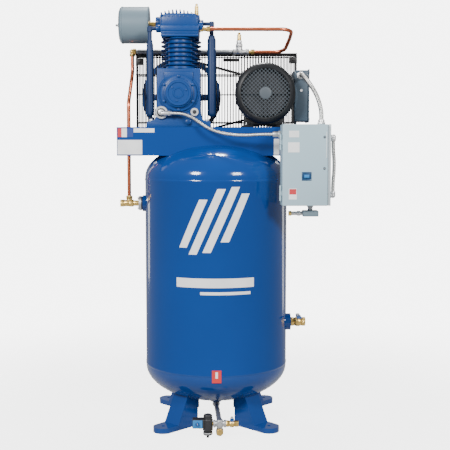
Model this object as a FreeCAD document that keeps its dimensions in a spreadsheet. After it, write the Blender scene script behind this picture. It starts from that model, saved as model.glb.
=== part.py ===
import FreeCAD, Part
import math
import os
import re
import Sketcher

# A vertical tank air compressor: an upright pressure vessel on four welded feet, a bent steel deck
# on its top head, and on the deck a two-stage pump driven by a motor through two belts.
# Millimetres, +Z up.  The origin is on the tank's axis at floor level, and the front faces -Y.

DRIVING_SIZES = [
    ("tank_radius", 305, "outside radius of the vessel"),
    ("tank_wall", 4, "plate of the vessel"),
    ("ground_gap", 89, "floor to the lowest point of the bottom head"),
    ("head_depth", 152, "depth of a 2:1 elliptical head"),
    ("head_skirt", 12, "straight flange of a head"),
    ("shell_length", 791, "rolled shell, weld to weld"),
    ("foot_circle", 312, "radius of the circle of foot bolt holes"),
    ("foot_hole", 7, "radius of a foot's bolt hole"),
    ("foot_width", 84, "width of a pressed foot"),
    ("foot_rim", 22, "height of a foot's turned-down rim"),
    ("foot_plate", 5, "plate of a foot"),
    ("deck_length", 822, "deck, left to right"),
    ("deck_depth", 300, "deck, front to back"),
    ("deck_plate", 6, "plate of the deck"),
    ("deck_flange", 118, "height of the deck's bent flanges"),
    ("deck_lift", 56, "top of the vessel to the top of the deck"),
    ("crank_height", 141, "deck to both shaft axes"),
    ("pump_x", -155, "crankshaft axis"),
    ("motor_x", 205, "motor axis"),
    ("case_half", 90, "half width of the crankcase"),
    ("case_front", -125, "front face of the crankcase"),
    ("case_length", 240, "crankcase, front to back"),
    ("case_height", 244, "crankcase, deck to cylinder face"),
    ("case_wall", 8, "crankcase casting wall"),
    ("base_half", 133, "half width of the crankcase's bolting flange"),
    ("base_height", 25, "thickness of that flange"),
    ("cover_radius", 76, "front bearing cover"),
    ("hp_y", -70, "high-pressure cylinder's axis"),
    ("lp_y", 45, "low-pressure cylinder's axis"),
    ("hp_bore", 30, "radius of the small bore"),
    ("lp_bore", 52, "radius of the large bore"),
    ("barrel_wall", 9, "cylinder wall"),
    ("hp_fins", 63, "radius of the small cylinder's fins"),
    ("lp_fins", 88, "radius of the large cylinder's fins"),
    ("cylinder_height", 142, "crankcase face to valve plate"),
    ("crank_throw", 35, "half of the stroke"),
    ("journal", 17.5, "radius of the crankshaft's journals"),
    ("crankpin", 18, "radius of a crankpin"),
    ("head_half", 80, "half width of the cylinder head"),
    ("head_height", 75, "cylinder head without its fins"),
    ("flywheel_radius", 177, "outside radius of the flywheel"),
    ("pulley_radius", 83, "outside radius of the motor pulley"),
    ("wheel_y", 182, "front face of the flywheel and pulley"),
    ("wheel_width", 44, "width of both rims"),
    ("belt_width", 13, "width of a belt"),
    ("belt_height", 9, "thickness of a belt"),
    ("motor_radius", 112, "motor frame"),
    ("motor_front", -90, "front end of the motor frame"),
    ("motor_length", 175, "motor frame, end to end"),
    ("motor_shaft", 14, "radius of the motor shaft"),
    ("cowl_radius", 126, "fan cover"),
    ("guard_left", -357, "left side of the belt guard"),
    ("guard_width", 719, "belt guard, left to right"),
    ("guard_drop", 49, "top of the deck to the guard's lower edge"),
    ("guard_height", 385, "belt guard, bottom to top"),
    ("guard_front", 163, "front face of the belt guard"),
    ("guard_depth", 82, "belt guard, front to back"),
    ("filter_radius", 79, "air filter canister"),
    ("filter_length", 132, "air filter canister, end to end"),
    ("box_gap", 7.17, "vessel to the nearest corner of the box"),
    ("box_width", 196, "control box, left to right"),
    ("box_drop", 318, "top of the deck to the box's floor"),
    ("box_height", 326, "control box, bottom to top"),
    ("box_back", -165, "back of the control box"),
    ("box_depth", 125, "control box without its door"),
    ("box_wall", 2, "sheet of the control box"),
    ("door_depth", 15, "depth of the door's pan"),
    ("line_reach", 112, "motor axis to the copper line's right-hand run"),
    ("tube_lift", 44, "deck to the lowest point of a cooling tube"),
    ("filter_gap", 55, "cylinder head to the filter's canister"),
    ("tube_radius", 8, "copper tube"),
    ("valve_height", 421, "outlet valve's axis above the floor"),
    ("inlet_drop", 104, "top of the shell to the check valve's axis"),
    ("drain_y", -315, "drain cross in front of the tank's axis"),
    ("drain_z", 60, "drain cross above the floor"),
    ("fit", 0.05, "radial clearance of a running fit"),
    ("gap", 0.3, "clearance between other moving faces"),
]

doc = FreeCAD.newDocument("vertical_tank_compressor")
sizes = doc.addObject("Spreadsheet::Sheet", "sizes")
for row, (alias, number, note) in enumerate(DRIVING_SIZES, 1):
    sizes.set("A%d" % row, alias)
    sizes.set("B%d" % row, str(number))
    sizes.set("C%d" % row, note)
    sizes.setAlias("B%d" % row, alias)
doc.recompute()

ALIASES = {entry[0] for entry in DRIVING_SIZES}
ROTATIONS = {
    "z": FreeCAD.Rotation(),
    "-z": FreeCAD.Rotation(FreeCAD.Vector(1, 0, 0), 180),
    "x": FreeCAD.Rotation(FreeCAD.Vector(0, 1, 0), 90),
    "-x": FreeCAD.Rotation(FreeCAD.Vector(0, 1, 0), -90),
    "y": FreeCAD.Rotation(FreeCAD.Vector(1, 0, 0), -90),
    "-y": FreeCAD.Rotation(FreeCAD.Vector(1, 0, 0), 90),
}
nodes = []

# Levels and places that several sub-parts share, as formulas on the sheet's cells.
LOW_TANGENT = "(ground_gap + head_depth)"
SHELL_BASE = "(ground_gap + head_depth + head_skirt)"
SHELL_TOP = "(ground_gap + head_depth + head_skirt + shell_length)"
HIGH_TANGENT = "(ground_gap + head_depth + 2 * head_skirt + shell_length)"
DECK_TOP = "(ground_gap + 2 * head_depth + 2 * head_skirt + shell_length + deck_lift)"
DECK_UNDER = "(" + DECK_TOP + " - deck_plate)"
AXIS_Z = "(" + DECK_TOP + " + crank_height)"
TIED = {"box_floor": "(%s - box_drop)" % DECK_TOP,
        "guard_floor": "(%s - guard_drop)" % DECK_TOP,
        "box_left": "sqrt((tank_radius + box_gap) * (tank_radius + box_gap) - box_back * box_back)"}
CASE_TOP = "(" + DECK_TOP + " + case_height)"
PLATE_BASE = "(" + CASE_TOP + " + cylinder_height)"
HEAD_BASE = "(" + PLATE_BASE + " + 8)"
HEAD_TOP = "(" + HEAD_BASE + " + head_height)"
INLET_Z = "(" + SHELL_TOP + " - inlet_drop)"
MOTOR_BACK = "(motor_front + motor_length)"


# ---------------------------------------------------------------- helpers
def spelled(text):
    """A formula with its tied words written out."""
    text = str(text)
    for word, formula in TIED.items():
        text = re.sub(r"\b%s\b" % word, formula, text)
    return text


def link(text):
    """Point each size that a formula names at its cell of the sheet."""
    def cell(match):
        word = match.group()
        return "sizes." + word if word in ALIASES else word
    return re.sub(r"[a-z_]+", cell, spelled(text))


def amount(text):
    """The number that a formula gives."""
    return float(sizes.evalExpression(spelled(text)))


def place(item, at, axis="z"):
    item.Placement = FreeCAD.Placement(FreeCAD.Vector(), ROTATIONS[axis])
    for letter, text in zip("xyz", at):
        item.setExpression("Placement.Base." + letter, link(text))
    return item


def primitive(kind, at, axis, **formulas):
    item = doc.addObject(kind, "piece")
    for name, text in formulas.items():
        item.setExpression(name, link(text))
    return place(item, at, axis)


def rod(radius, length, at, axis="z"):
    return primitive("Part::Cylinder", at, axis, Radius=radius, Height=length)


def cone(start, end, length, at, axis="z"):
    return primitive("Part::Cone", at, axis, Radius1=start, Radius2=end, Height=length)


def ball(radius, at):
    return primitive("Part::Sphere", at, "z", Radius=radius)


def block(width, depth, height, at):
    """A box from its lowest corner."""
    return primitive("Part::Box", at, "z", Length=width, Width=depth, Height=height)


def slab(half_width, depth, height, middle_x, front, floor):
    """A box that is even about one x."""
    width = "2 * (%s)" % half_width
    return block(width, depth, height, ("%s - (%s)" % (middle_x, half_width), front, floor))


def joined(*items):
    item = doc.addObject("Part::MultiFuse", "joined")
    item.Shapes = list(items)
    return item


def cut(base, *tools):
    item = doc.addObject("Part::Cut", "trimmed")
    item.Base = base
    item.Tool = tools[0] if len(tools) == 1 else joined(*tools)
    return item


def group(items):
    item = doc.addObject("Part::Compound", "group")
    item.Links = list(items)
    return item


def tube(outer, inner, length, at, axis="z"):
    return cut(rod(outer, length, at, axis), rod(inner, length, at, axis))


def bolt(shank, length, head, thick, at, axis="z"):
    """A screw whose head's seat is at a point, with its shank pointing back along the axis."""
    away = {"z": (0, 0, -1), "x": (-1, 0, 0), "-x": (1, 0, 0), "y": (0, -1, 0), "-y": (0, 1, 0)}[axis]
    start = ["%s + %d * (%s)" % (text, sign, length) for text, sign in zip(at, away)]
    return joined(rod(shank, length, start, axis), rod(head, thick, at, axis))


def node(label, item):
    """Name a finished sub-part."""
    item.Label = label
    nodes.append(item)
    return item


def body_sketch(body, role, corners):
    """A closed outline of straight lines, each corner's place bound to the sheet."""
    plane = [item for item in body.Origin.OriginFeatures if item.Role == role][0]
    sketch = body.newObject("Sketcher::SketchObject", "outline")
    sketch.AttachmentSupport = (plane, [""])
    sketch.MapMode = "FlatFace"
    places = [FreeCAD.Vector(amount(u), amount(v), 0) for u, v in corners]
    count = len(places)
    for index in range(count):
        sketch.addGeometry(Part.LineSegment(places[index], places[(index + 1) % count]), False)
    for index in range(count):
        sketch.addConstraint(Sketcher.Constraint("Coincident", index, 2, (index + 1) % count, 1))
    for index, pair in enumerate(corners):
        for kind, text in zip(("DistanceX", "DistanceY"), pair):
            bound = sketch.addConstraint(Sketcher.Constraint(kind, -1, 1, index, 1, amount(text)))
            sketch.setExpression("Constraints[%d]" % bound, link(text))
    return sketch


def padded_body(name, role, corners, length):
    """A body padded both ways from an outline on one of its origin planes."""
    body = doc.addObject("PartDesign::Body", name)
    sketch = body_sketch(body, role, corners)
    pad = body.newObject("PartDesign::Pad", "pad")
    pad.Profile = sketch
    pad.Midplane = True
    pad.setExpression("Length", link(length))
    return body


def turned(name, corners, at, axis):
    """A turned body: an outline of (radius, distance along the axis), revolved."""
    body = doc.addObject("PartDesign::Body", name)
    sketch = body_sketch(body, "XZ_Plane", corners)
    turn = body.newObject("PartDesign::Revolution", "turn")
    turn.Profile = sketch
    turn.ReferenceAxis = (sketch, ["V_Axis"])
    turn.Angle = 360
    place(body, at, axis)
    return body


def formed(shape):
    item = doc.addObject("Part::Feature", "formed")
    item.Shape = shape
    return item


def bent_path(points, corner=None):
    """Straight runs joined by tangent arcs: of one radius, or as large as each two runs allow."""
    edges = []
    radii = []
    start = points[0]
    for index in range(1, len(points) - 1):
        before = points[index] - points[index - 1]
        after = points[index + 1] - points[index]
        turn = before.getAngle(after)
        free = 0.45 * min(before.Length, after.Length) / math.tan(turn / 2)
        radius = corner or free
        setback = radius * math.tan(turn / 2)
        enter = points[index] - before.normalize() * setback
        leave = points[index] + after.normalize() * setback
        inward = (after - before).normalize()
        middle = points[index] + inward * (radius / math.cos(turn / 2) - radius)
        edges.append(Part.LineSegment(start, enter).toShape())
        edges.append(Part.Arc(enter, middle, leave).toShape())
        radii.append(radius)
        start = leave
    edges.append(Part.LineSegment(start, points[-1]).toShape())
    return Part.Wire(edges), radii


def bent_tube(points, radius, corner=None):
    """A round bar along such a path, with its volume compared with its section times its length."""
    path, radii = bent_path([FreeCAD.Vector(*at) for at in points], corner)
    direction = path.Edges[0].tangentAt(path.Edges[0].FirstParameter)
    circle = Part.Wire(Part.makeCircle(radius, path.Vertexes[0].Point, direction))
    solid = path.makePipe(Part.Face(circle))
    expected = math.pi * radius ** 2 * path.Length
    if abs(solid.Volume - expected) > 0.01 * expected:
        raise ValueError("a tube's volume is %.0f, not %.0f" % (solid.Volume, expected))
    print("tube %.0f mm long, radii %s" % (path.Length, ["%.0f" % each for each in radii]))
    return solid


# ---------------------------------------------------------------- pressure vessel
def tank_outside(extra="0"):
    """The vessel's outside as one solid, which the pieces welded to it are cut by."""
    radius = "tank_radius + " + extra
    low = primitive("Part::Ellipsoid", ("0", "0", LOW_TANGENT), "z",
                    Radius1="head_depth + " + extra, Radius2=radius, Radius3=radius)
    high = primitive("Part::Ellipsoid", ("0", "0", HIGH_TANGENT), "z",
                     Radius1="head_depth + " + extra, Radius2=radius, Radius3=radius)
    for end in (low, high):
        end.Angle1 = -90
        end.Angle2 = 90
        end.Angle3 = 360
    barrel = rod(radius, "shell_length + 2 * head_skirt", ("0", "0", LOW_TANGENT))
    return joined(low, barrel, high)


def dished_head(label, tangent, axis, skirt_base, holes):
    """A pressed 2:1 elliptical head with its short straight flange."""
    inner = "tank_radius - tank_wall"
    outer_dome = primitive("Part::Ellipsoid", ("0", "0", tangent), axis,
                           Radius1="head_depth", Radius2="tank_radius", Radius3="tank_radius")
    inner_dome = primitive("Part::Ellipsoid", ("0", "0", tangent), axis,
                           Radius1="head_depth - tank_wall", Radius2=inner, Radius3=inner)
    for dome in (outer_dome, inner_dome):
        dome.Angle1 = 0
        dome.Angle2 = 90
        dome.Angle3 = 360
    skirt = rod("tank_radius", "head_skirt", ("0", "0", skirt_base))
    hollow = rod(inner, "head_skirt", ("0", "0", skirt_base))
    return node(label, cut(joined(outer_dome, skirt), inner_dome, hollow, *holes))


def pressure_vessel():
    inlet = rod("11", "2 * tank_wall + 40", ("-tank_radius - 20", "0", INLET_Z), "x")
    outlet = rod("12", "2 * tank_wall + 40", ("tank_radius - 2 * tank_wall - 20", "0", "valve_height"), "x")
    shell = tube("tank_radius", "tank_radius - tank_wall", "shell_length", ("0", "0", SHELL_BASE))
    node("tank_shell", cut(shell, inlet, outlet))
    drain_hole = rod("12", "60", ("0", "0", "ground_gap - 20"))
    dished_head("tank_top_head", HIGH_TANGENT, "z", SHELL_TOP, [])
    dished_head("tank_bottom_head", LOW_TANGENT, "-z", LOW_TANGENT, [drain_hole])


def tank_couplings():
    """Welded pads: the check valve's flange, the outlet's boss and the drain's half coupling."""
    inlet = tube("35", "11", "36", ("-tank_radius - 11", "0", INLET_Z), "x")
    outlet = tube("36", "12", "40", ("tank_radius - 20", "0", "valve_height"), "x")
    drain = tube("24", "12", "34", ("0", "0", "ground_gap - 21"))
    pads = [cut(pad, tank_outside()) for pad in (inlet, outlet, drain)]
    node("tank_couplings", group(pads))


def foot(label, angle):
    """A pressed channel: a pad with a turned-down rim and a bolt sleeve, and a leg up to the head."""
    reach = "(foot_circle + foot_width / 2)"
    bend = "(foot_circle - foot_width / 2 - 4)"
    top = "(ground_gap + 60)"
    root = "(foot_circle - 160)"
    outer = [(root, "0"), (reach, "0"), (reach, "foot_rim"), (bend, "foot_rim"),
             ("(%s - 62)" % bend, top), (root, top)]
    body = padded_body("foot_side", "XZ_Plane", outer, "foot_width")
    under = "foot_plate"
    inner = [(root, "-1"), ("(%s - %s)" % (reach, under), "-1"),
             ("(%s - %s)" % (reach, under), "foot_rim - " + under),
             ("(%s - 3)" % bend, "foot_rim - " + under),
             ("(%s - 66)" % bend, "(%s - 1)" % top), (root, "(%s - 1)" % top)]
    hollow = padded_body("foot_hollow", "XZ_Plane", inner, "foot_width - 2 * foot_plate")
    height = top + " + 2"
    plan = joined(rod("foot_width / 2", height, ("foot_circle", "0", "-2")),
                  block("foot_circle - %s" % root, "foot_width", height, (root, "-foot_width / 2", "-2")))
    inner_plan = joined(
        rod("foot_width / 2 - foot_plate", height, ("foot_circle", "0", "-2")),
        block("foot_circle - %s" % root, "foot_width - 2 * foot_plate", height,
              (root, "foot_plate - foot_width / 2", "-2")))
    shell = doc.addObject("Part::MultiCommon", "foot_outer")
    shell.Shapes = [body, plan]
    core = doc.addObject("Part::MultiCommon", "foot_core")
    core.Shapes = [hollow, inner_plan]
    sleeve = rod("foot_hole + 5", "foot_rim", ("foot_circle", "0", "0"))
    hole = rod("foot_hole", "foot_rim + 10", ("foot_circle", "0", "-1"))
    pressed = cut(joined(cut(shell, core), sleeve), hole, tank_outside())
    doc.recompute()
    largest = max(pressed.Shape.Solids, key=lambda solid: solid.Volume)
    piece = formed(largest)
    piece.Placement = FreeCAD.Placement(FreeCAD.Vector(), FreeCAD.Rotation(FreeCAD.Vector(0, 0, 1), angle))
    node(label, piece)


def feet():
    places = [("foot_front_left", 225), ("foot_front_right", 315),
              ("foot_rear_left", 135), ("foot_rear_right", 45)]
    for label, angle in places:
        foot(label, angle)


# ---------------------------------------------------------------- deck
PUMP_BOLTS = [("pump_x + %d * (base_half - 16)" % side, "case_front + %s" % along)
              for side in (-1, 1) for along in ("18", "(case_length - 18)")]
MOTOR_BOLTS = [("motor_x + %d" % side, "%d" % along) for side in (-76, 76) for along in (-66, 66)]


def deck():
    """A channel bent from plate, with its flanges coped to sit on the top head and be welded."""
    half = "deck_depth / 2"
    inner = "(deck_depth / 2 - deck_plate)"
    low = "(%s - deck_flange)" % DECK_TOP
    outline = [("-" + half, low), ("-" + inner, low), ("-" + inner, DECK_UNDER), (inner, DECK_UNDER),
               (inner, low), (half, low), (half, DECK_TOP), ("-" + half, DECK_TOP)]
    channel = padded_body("channel", "YZ_Plane", outline, "deck_length")
    holes = [rod("6.5", "deck_plate + 4", (x, y, DECK_UNDER + " - 2")) for x, y in PUMP_BOLTS + MOTOR_BOLTS]
    passage = rod("tube_radius + 6", "deck_plate + 4", ("-tank_radius - 70", "0", DECK_UNDER + " - 2"))
    node("mounting_deck", cut(channel, tank_outside(), passage, *holes))


def mounting_bolts():
    """The bolts and nuts that hold the pump and the motor to the deck."""
    bolts = []
    seats = [(at, "(%s + base_height)" % DECK_TOP) for at in PUMP_BOLTS]
    seats += [(at, "(%s + 12)" % DECK_TOP) for at in MOTOR_BOLTS]
    for (x, y), seat in seats:
        grip = "(%s - %s + 12)" % (seat, DECK_UNDER)
        shank = rod("6", grip, (x, y, DECK_UNDER + " - 12"))
        head = rod("10", "8", (x, y, seat))
        nut = rod("10", "9", (x, y, DECK_UNDER + " - 9"))
        bolts.append(joined(shank, head, nut))
    node("mounting_bolts", group(bolts))


# ---------------------------------------------------------------- pump
BARRELS = [("high_pressure_cylinder", "hp_y", "hp_bore", "hp_fins", 1),
           ("low_pressure_cylinder", "lp_y", "lp_bore", "lp_fins", -1)]
SPLIT = "(hp_y + 46)"
HEAD_FRONT = "(hp_y - hp_fins)"
HEAD_DEPTH = "(lp_y + lp_fins - hp_y + hp_fins)"
HEAD_BOLTS = [("pump_x + 5 + %s" % side, "%s + %s" % (HEAD_FRONT, along))
              for side in (-68.7, 66) for along in ("18", "70", "(%s - 110)" % HEAD_DEPTH,
                                                  "(%s - 18)" % HEAD_DEPTH)]


def around_circle(count, radius, x, z, turn=0):
    """Places on a circle in an upright plane, as formulas."""
    spots = []
    for index in range(count):
        angle = turn + 360 * index / count
        spots.append(("%s + (%s) * cos(%s)" % (x, radius, angle), "%s + (%s) * sin(%s)" % (z, radius, angle)))
    return spots


def crankcase():
    """Cast iron: upright walls, a flared foot with four bolts, and bearings front and back."""
    half = [("base_half", "0"), ("base_half", "base_height"), ("case_half + 8", "base_height + 8"),
            ("case_half", "base_height + 45"),
            ("case_half", "case_height")]
    outline = half + [("-(%s)" % u, v) for u, v in reversed(half)]
    casting = padded_body("casting", "XZ_Plane", outline, "case_length")
    place(casting, ("pump_x", "case_front + case_length / 2", DECK_TOP))
    back = "(case_front + case_length)"
    boss = rod("48", "18", ("pump_x", back, AXIS_Z), "y")
    cavity = slab("case_half - case_wall", "case_length - 2 * case_wall", "case_height - 2 * case_wall",
                  "pump_x", "case_front + case_wall", DECK_TOP + " + case_wall")
    mouth = rod("58", "case_wall + 4", ("pump_x", "case_front - 2", AXIS_Z), "y")
    seat = rod("31", "26 + case_wall", ("pump_x", back + " - case_wall - 4", AXIS_Z), "y")
    throats = [rod("%s + 1" % bore, "case_wall + 4", ("pump_x + 5", y, CASE_TOP + " - case_wall - 2"))
               for _, y, bore, _, _ in BARRELS]
    feet_holes = [rod("6.5", "base_height + 6", (x, y, DECK_TOP + " - 2")) for x, y in PUMP_BOLTS]
    seats = [rod("12", "40", (x, y, DECK_TOP + " + base_height")) for x, y in PUMP_BOLTS]
    cover_holes = [rod("4.2", "case_wall + 4", (x, "case_front - 2", z), "y")
                   for x, z in around_circle(6, "cover_radius - 7", "pump_x", AXIS_Z, 30)]
    holes = throats + feet_holes + seats + cover_holes
    node("crankcase", cut(joined(casting, boss), cavity, mouth, seat, *holes))


def bearing_cover():
    """The front cover: flange, stepped hub and the front bearing's seat, with its six screws."""
    outline = [("0", "0"), ("45", "0"), ("45", "7"), ("61", "7"), ("61", "20"), ("cover_radius", "20"),
               ("cover_radius", "32"), ("57.9", "32"), ("57.9", "42"), ("31", "42"), ("31", "24"),
               ("0", "24")]
    cover = turned("cover", outline, ("pump_x", "case_front - 32", AXIS_Z), "y")
    spots = around_circle(6, "cover_radius - 7", "pump_x", AXIS_Z, 30)
    holes = [rod("4.2", "14", (x, "case_front - 13", z), "y") for x, z in spots]
    screws = [bolt("4", "12 + case_wall", "6", "6", (x, "case_front - 12", z), "-y") for x, z in spots]
    node("bearing_cover", group([cut(cover, *holes)] + screws))


def crankshaft():
    """Two throws opposite each other between round webs, and a tail for the flywheel."""
    web = "(crank_throw + crankpin + 2)"
    front = "(case_front - 6)"
    parts = [rod("journal", "wheel_y + wheel_width - %s" % front, ("pump_x", front, AXIS_Z), "y")]
    hollows = []
    for y, sign in (("hp_y", "1"), ("lp_y", "-1")):
        z = "%s + %s * crank_throw" % (AXIS_Z, sign)
        hollows.append(rod("journal + 2", "36", ("pump_x", y + " - 18", AXIS_Z), "y"))
        parts.append(rod("crankpin", "36", ("pump_x", y + " - 18", z), "y"))
        parts.append(rod(web, "12", ("pump_x", y + " - 30", AXIS_Z), "y"))
        parts.append(rod(web, "12", ("pump_x", y + " + 18", AXIS_Z), "y"))
    shaft = cut(parts[0], *hollows)
    node("crankshaft", joined(shaft, *parts[1:]))


def crank_bearings():
    """A ball bearing at each end and the oil seal behind the rear one, as rings."""
    back = "(case_front + case_length)"
    rings = [tube("31", "journal + fit", "16", ("pump_x", "case_front - 6", AXIS_Z), "y"),
             tube("31", "journal + fit", "16", ("pump_x", back + " - case_wall", AXIS_Z), "y"),
             tube("31", "journal + fit", "8", ("pump_x", back + " + 9", AXIS_Z), "y")]
    node("crank_bearings", group(rings))


def running_gear():
    """Pistons with their pins, and rods whose big ends clear the crankpins' swept circle."""
    sweep = "(crank_throw + crankpin + 2)"
    pin_z = "(" + CASE_TOP + " + 76)"
    rods = []
    pistons = []
    for _, y, bore, _, _ in BARRELS:
        eye = rod("14", "20", ("pump_x + 5", y + " - 10", pin_z), "y")
        ring = rod(sweep + " + 10", "20", ("pump_x", y + " - 10", AXIS_Z), "y")
        blade = block("18", "20", "%s - %s" % (pin_z, AXIS_Z), ("pump_x - 4", y + " - 10", AXIS_Z))
        swept = rod(sweep, "20", ("pump_x", y + " - 10", AXIS_Z), "y")
        eye_hole = rod("8 + fit", "20", ("pump_x + 5", y + " - 10", pin_z), "y")
        rods.append(cut(joined(eye, ring, blade), swept, eye_hole))
        skirt = rod("%s - fit" % bore, "60", ("pump_x + 5", y, pin_z + " - 24"))
        bowl = block("34", "22", "40", ("pump_x - 12", y + " - 11", pin_z + " - 25"))
        pin_hole = rod("8", "2 * %s" % bore, ("pump_x + 5", "%s - %s" % (y, bore), pin_z), "y")
        pistons.append(cut(skirt, bowl, pin_hole))
        pistons.append(rod("8", "2 * %s - 6" % bore, ("pump_x + 5", "%s - %s + 3" % (y, bore), pin_z), "y"))
    node("connecting_rods", group(rods))
    node("pistons", group(pistons))


def cylinders():
    """A plain bore in a finned barrel, with a square flange under the valve plate."""
    flange = "12"
    for label, y, bore, fins, side in BARRELS:
        x = "pump_x + 5"
        barrel = "(%s + barrel_wall)" % bore
        parts = [rod(barrel, "cylinder_height", (x, y, CASE_TOP))]
        parts.append(rod("%s + 9" % barrel, "10", (x, y, CASE_TOP)))
        for index in range(5):
            level = "%s + 24 + %d * (cylinder_height - 48) / 4" % (CASE_TOP, index)
            parts.append(rod(fins, "6", (x, y, level + " - 3")))
        if side > 0:
            front, depth = HEAD_FRONT, "(%s - %s)" % (SPLIT, HEAD_FRONT)
            away = SPLIT
        else:
            front, depth = SPLIT, "(%s + %s - %s)" % (HEAD_FRONT, HEAD_DEPTH, SPLIT)
            away = SPLIT + " - 200"
        parts.append(slab("head_half - 4", depth, flange, x, front, "%s - %s" % (PLATE_BASE, flange)))
        beyond = slab("lp_fins + 20", "200", "cylinder_height + 20", x, away, CASE_TOP + " - 10")
        hole = rod(bore, "cylinder_height", (x, y, CASE_TOP))
        sockets = [rod("4.2", "11", (u, v, PLATE_BASE + " - 11")) for u, v in HEAD_BOLTS]
        node(label, cut(joined(*parts), beyond, hole, *sockets))


def cylinder_head():
    """The valve plate, and over it the cast head with fins that run front to back."""
    x = "pump_x + 5"
    holes = [rod("4.2", "head_height + 12", (u, v, PLATE_BASE + " - 2")) for u, v in HEAD_BOLTS]
    plate = slab("head_half - 2", HEAD_DEPTH, "8", x, HEAD_FRONT, PLATE_BASE)
    ports = []
    for _, y, bore, _, _ in BARRELS:
        for shift in ("-0.45", "0.45"):
            ports.append(rod("8", "12", ("%s + %s * %s" % (x, shift, bore), y, PLATE_BASE + " - 2")))
    plate_holes = [rod("4.2", "12", (u, v, PLATE_BASE + " - 2")) for u, v in HEAD_BOLTS]
    node("valve_plate", cut(plate, *ports, *plate_holes))
    parts = [slab("head_half", HEAD_DEPTH, "head_height", x, HEAD_FRONT, HEAD_BASE)]
    for index in range(9):
        left = "%s - head_half + %s" % (x, 1.5 + 15.6 * index)
        parts.append(block("4", HEAD_DEPTH, "18", (left, HEAD_FRONT, HEAD_TOP)))
    chambers = []
    for y, bore in (("hp_y", "hp_bore"), ("lp_y", "lp_bore")):
        for side in (-1, 1):
            middle = "%s + %d * 28" % (x, side)
            chambers.append(slab("22", "2 * %s - 8" % bore, "36", middle, "%s - %s + 4" % (y, bore), HEAD_BASE))
    screws = [bolt("4", "head_height + 18", "5.4", "8", (u, v, HEAD_TOP)) for u, v in HEAD_BOLTS]
    node("cylinder_head", group([cut(joined(*parts), *chambers, *holes)] + screws))


def intercooler():
    """Two upright cooling tubes with closed ends, joined to the head by elbows."""
    sides = [("-x", "pump_x + 5 - head_half", "45", "-95", HEAD_TOP + " - 60", "14", "56"),
             ("x", "pump_x + 5 + head_half", "52", "-60", HEAD_TOP + " - 36", "18", "58")]
    tubes = []
    for axis, start, reach, y, z, radius, drop in sides:
        sign = "-" if axis == "-x" else "+"
        end = "%s %s %s" % (start, sign, reach)
        bottom = "(%s + tube_lift + %s)" % (DECK_TOP, radius)
        shoulder = "(%s - %s)" % (z, drop)
        parts = [rod("8", reach, (start, y, z), axis), ball("8", (end, y, z)),
                 rod("8", drop, (end, y, shoulder)), ball(radius, (end, y, shoulder)),
                 rod(radius, "%s - %s" % (shoulder, bottom), (end, y, bottom)), ball(radius, (end, y, bottom))]
        tubes.append(joined(*parts))
    node("intercooler_tubes", group(tubes))


def relief_valve():
    """The interstage relief valve on the head, with a stem that lifts."""
    x, y = "pump_x + 5 + head_half - 12", "lp_y - 50"
    body = joined(rod("8", "10", (x, y, HEAD_TOP)), rod("10.5", "18", (x, y, HEAD_TOP + " + 10")),
                  rod("8", "18", (x, y, HEAD_TOP + " + 28")))
    hollow = rod("3 + fit", "30", (x, y, HEAD_TOP + " + 17"))
    node("relief_valve_body", cut(body, hollow))
    stem = joined(rod("3", "30", (x, y, HEAD_TOP + " + 21")),
                  rod("6", "8", (x, y, HEAD_TOP + " + 48")))
    node("relief_valve_stem", stem)


def case_fittings():
    """The oil sight glass and the low-oil switch, screwed into the crankcase's front."""
    z = DECK_TOP + " + 63"
    glass = joined(rod("14", "8", ("pump_x + 66", "case_front", z), "-y"),
                   rod("8", "2", ("pump_x + 66", "case_front - 8", z), "-y"))
    node("sight_glass", glass)
    x = "pump_x - 72"
    level = DECK_TOP + " + 61"
    switch = joined(rod("27", "14", (x, "case_front", level), "-y"),
                    rod("19", "22", (x, "case_front - 14", level), "-y"),
                    rod("9", "44", (x, "case_front - 24", level + " - 4"), "x"))
    trim = slab("60", "40", "60", x, "case_front", level + " - 30")
    node("oil_level_switch", cut(switch, trim))


def air_filter():
    """A steel canister on its side, a pleated ring inside, and a neck into the head."""
    y, z = "lp_y - 15", HEAD_TOP + " - 30"
    head_side = "pump_x + 5 - head_half"
    right = "(%s - filter_gap)" % head_side
    left = "(%s - filter_length)" % right
    neck = tube("15", "11", "filter_gap + 6", (right + " - 6", y, z), "x")
    can = joined(rod("filter_radius", "filter_length - 10", (left + " + 10", y, z), "x"),
                 cone("filter_radius - 14", "filter_radius", "10", (left, y, z), "x"))
    hollow = rod("filter_radius - 1.5", "filter_length - 14", (left + " + 12", y, z), "x")
    mouth = rod("15", "4", (right + " - 3", y, z), "x")
    nut = joined(rod("4", "20", (left + " - 14", y, z), "x"),
                 block("5", "30", "8", (left + " - 12", "%s - 15" % y, z + " - 4")))
    hole = rod("4", "20", (left + " - 4", y, z), "x")
    node("filter_canister", group([cut(can, hollow, mouth, hole), nut, neck]))
    node("filter_element", tube("filter_radius - 12", "filter_radius - 34", "filter_length - 14",
                                (left + " + 12", y, z), "x"))


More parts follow.
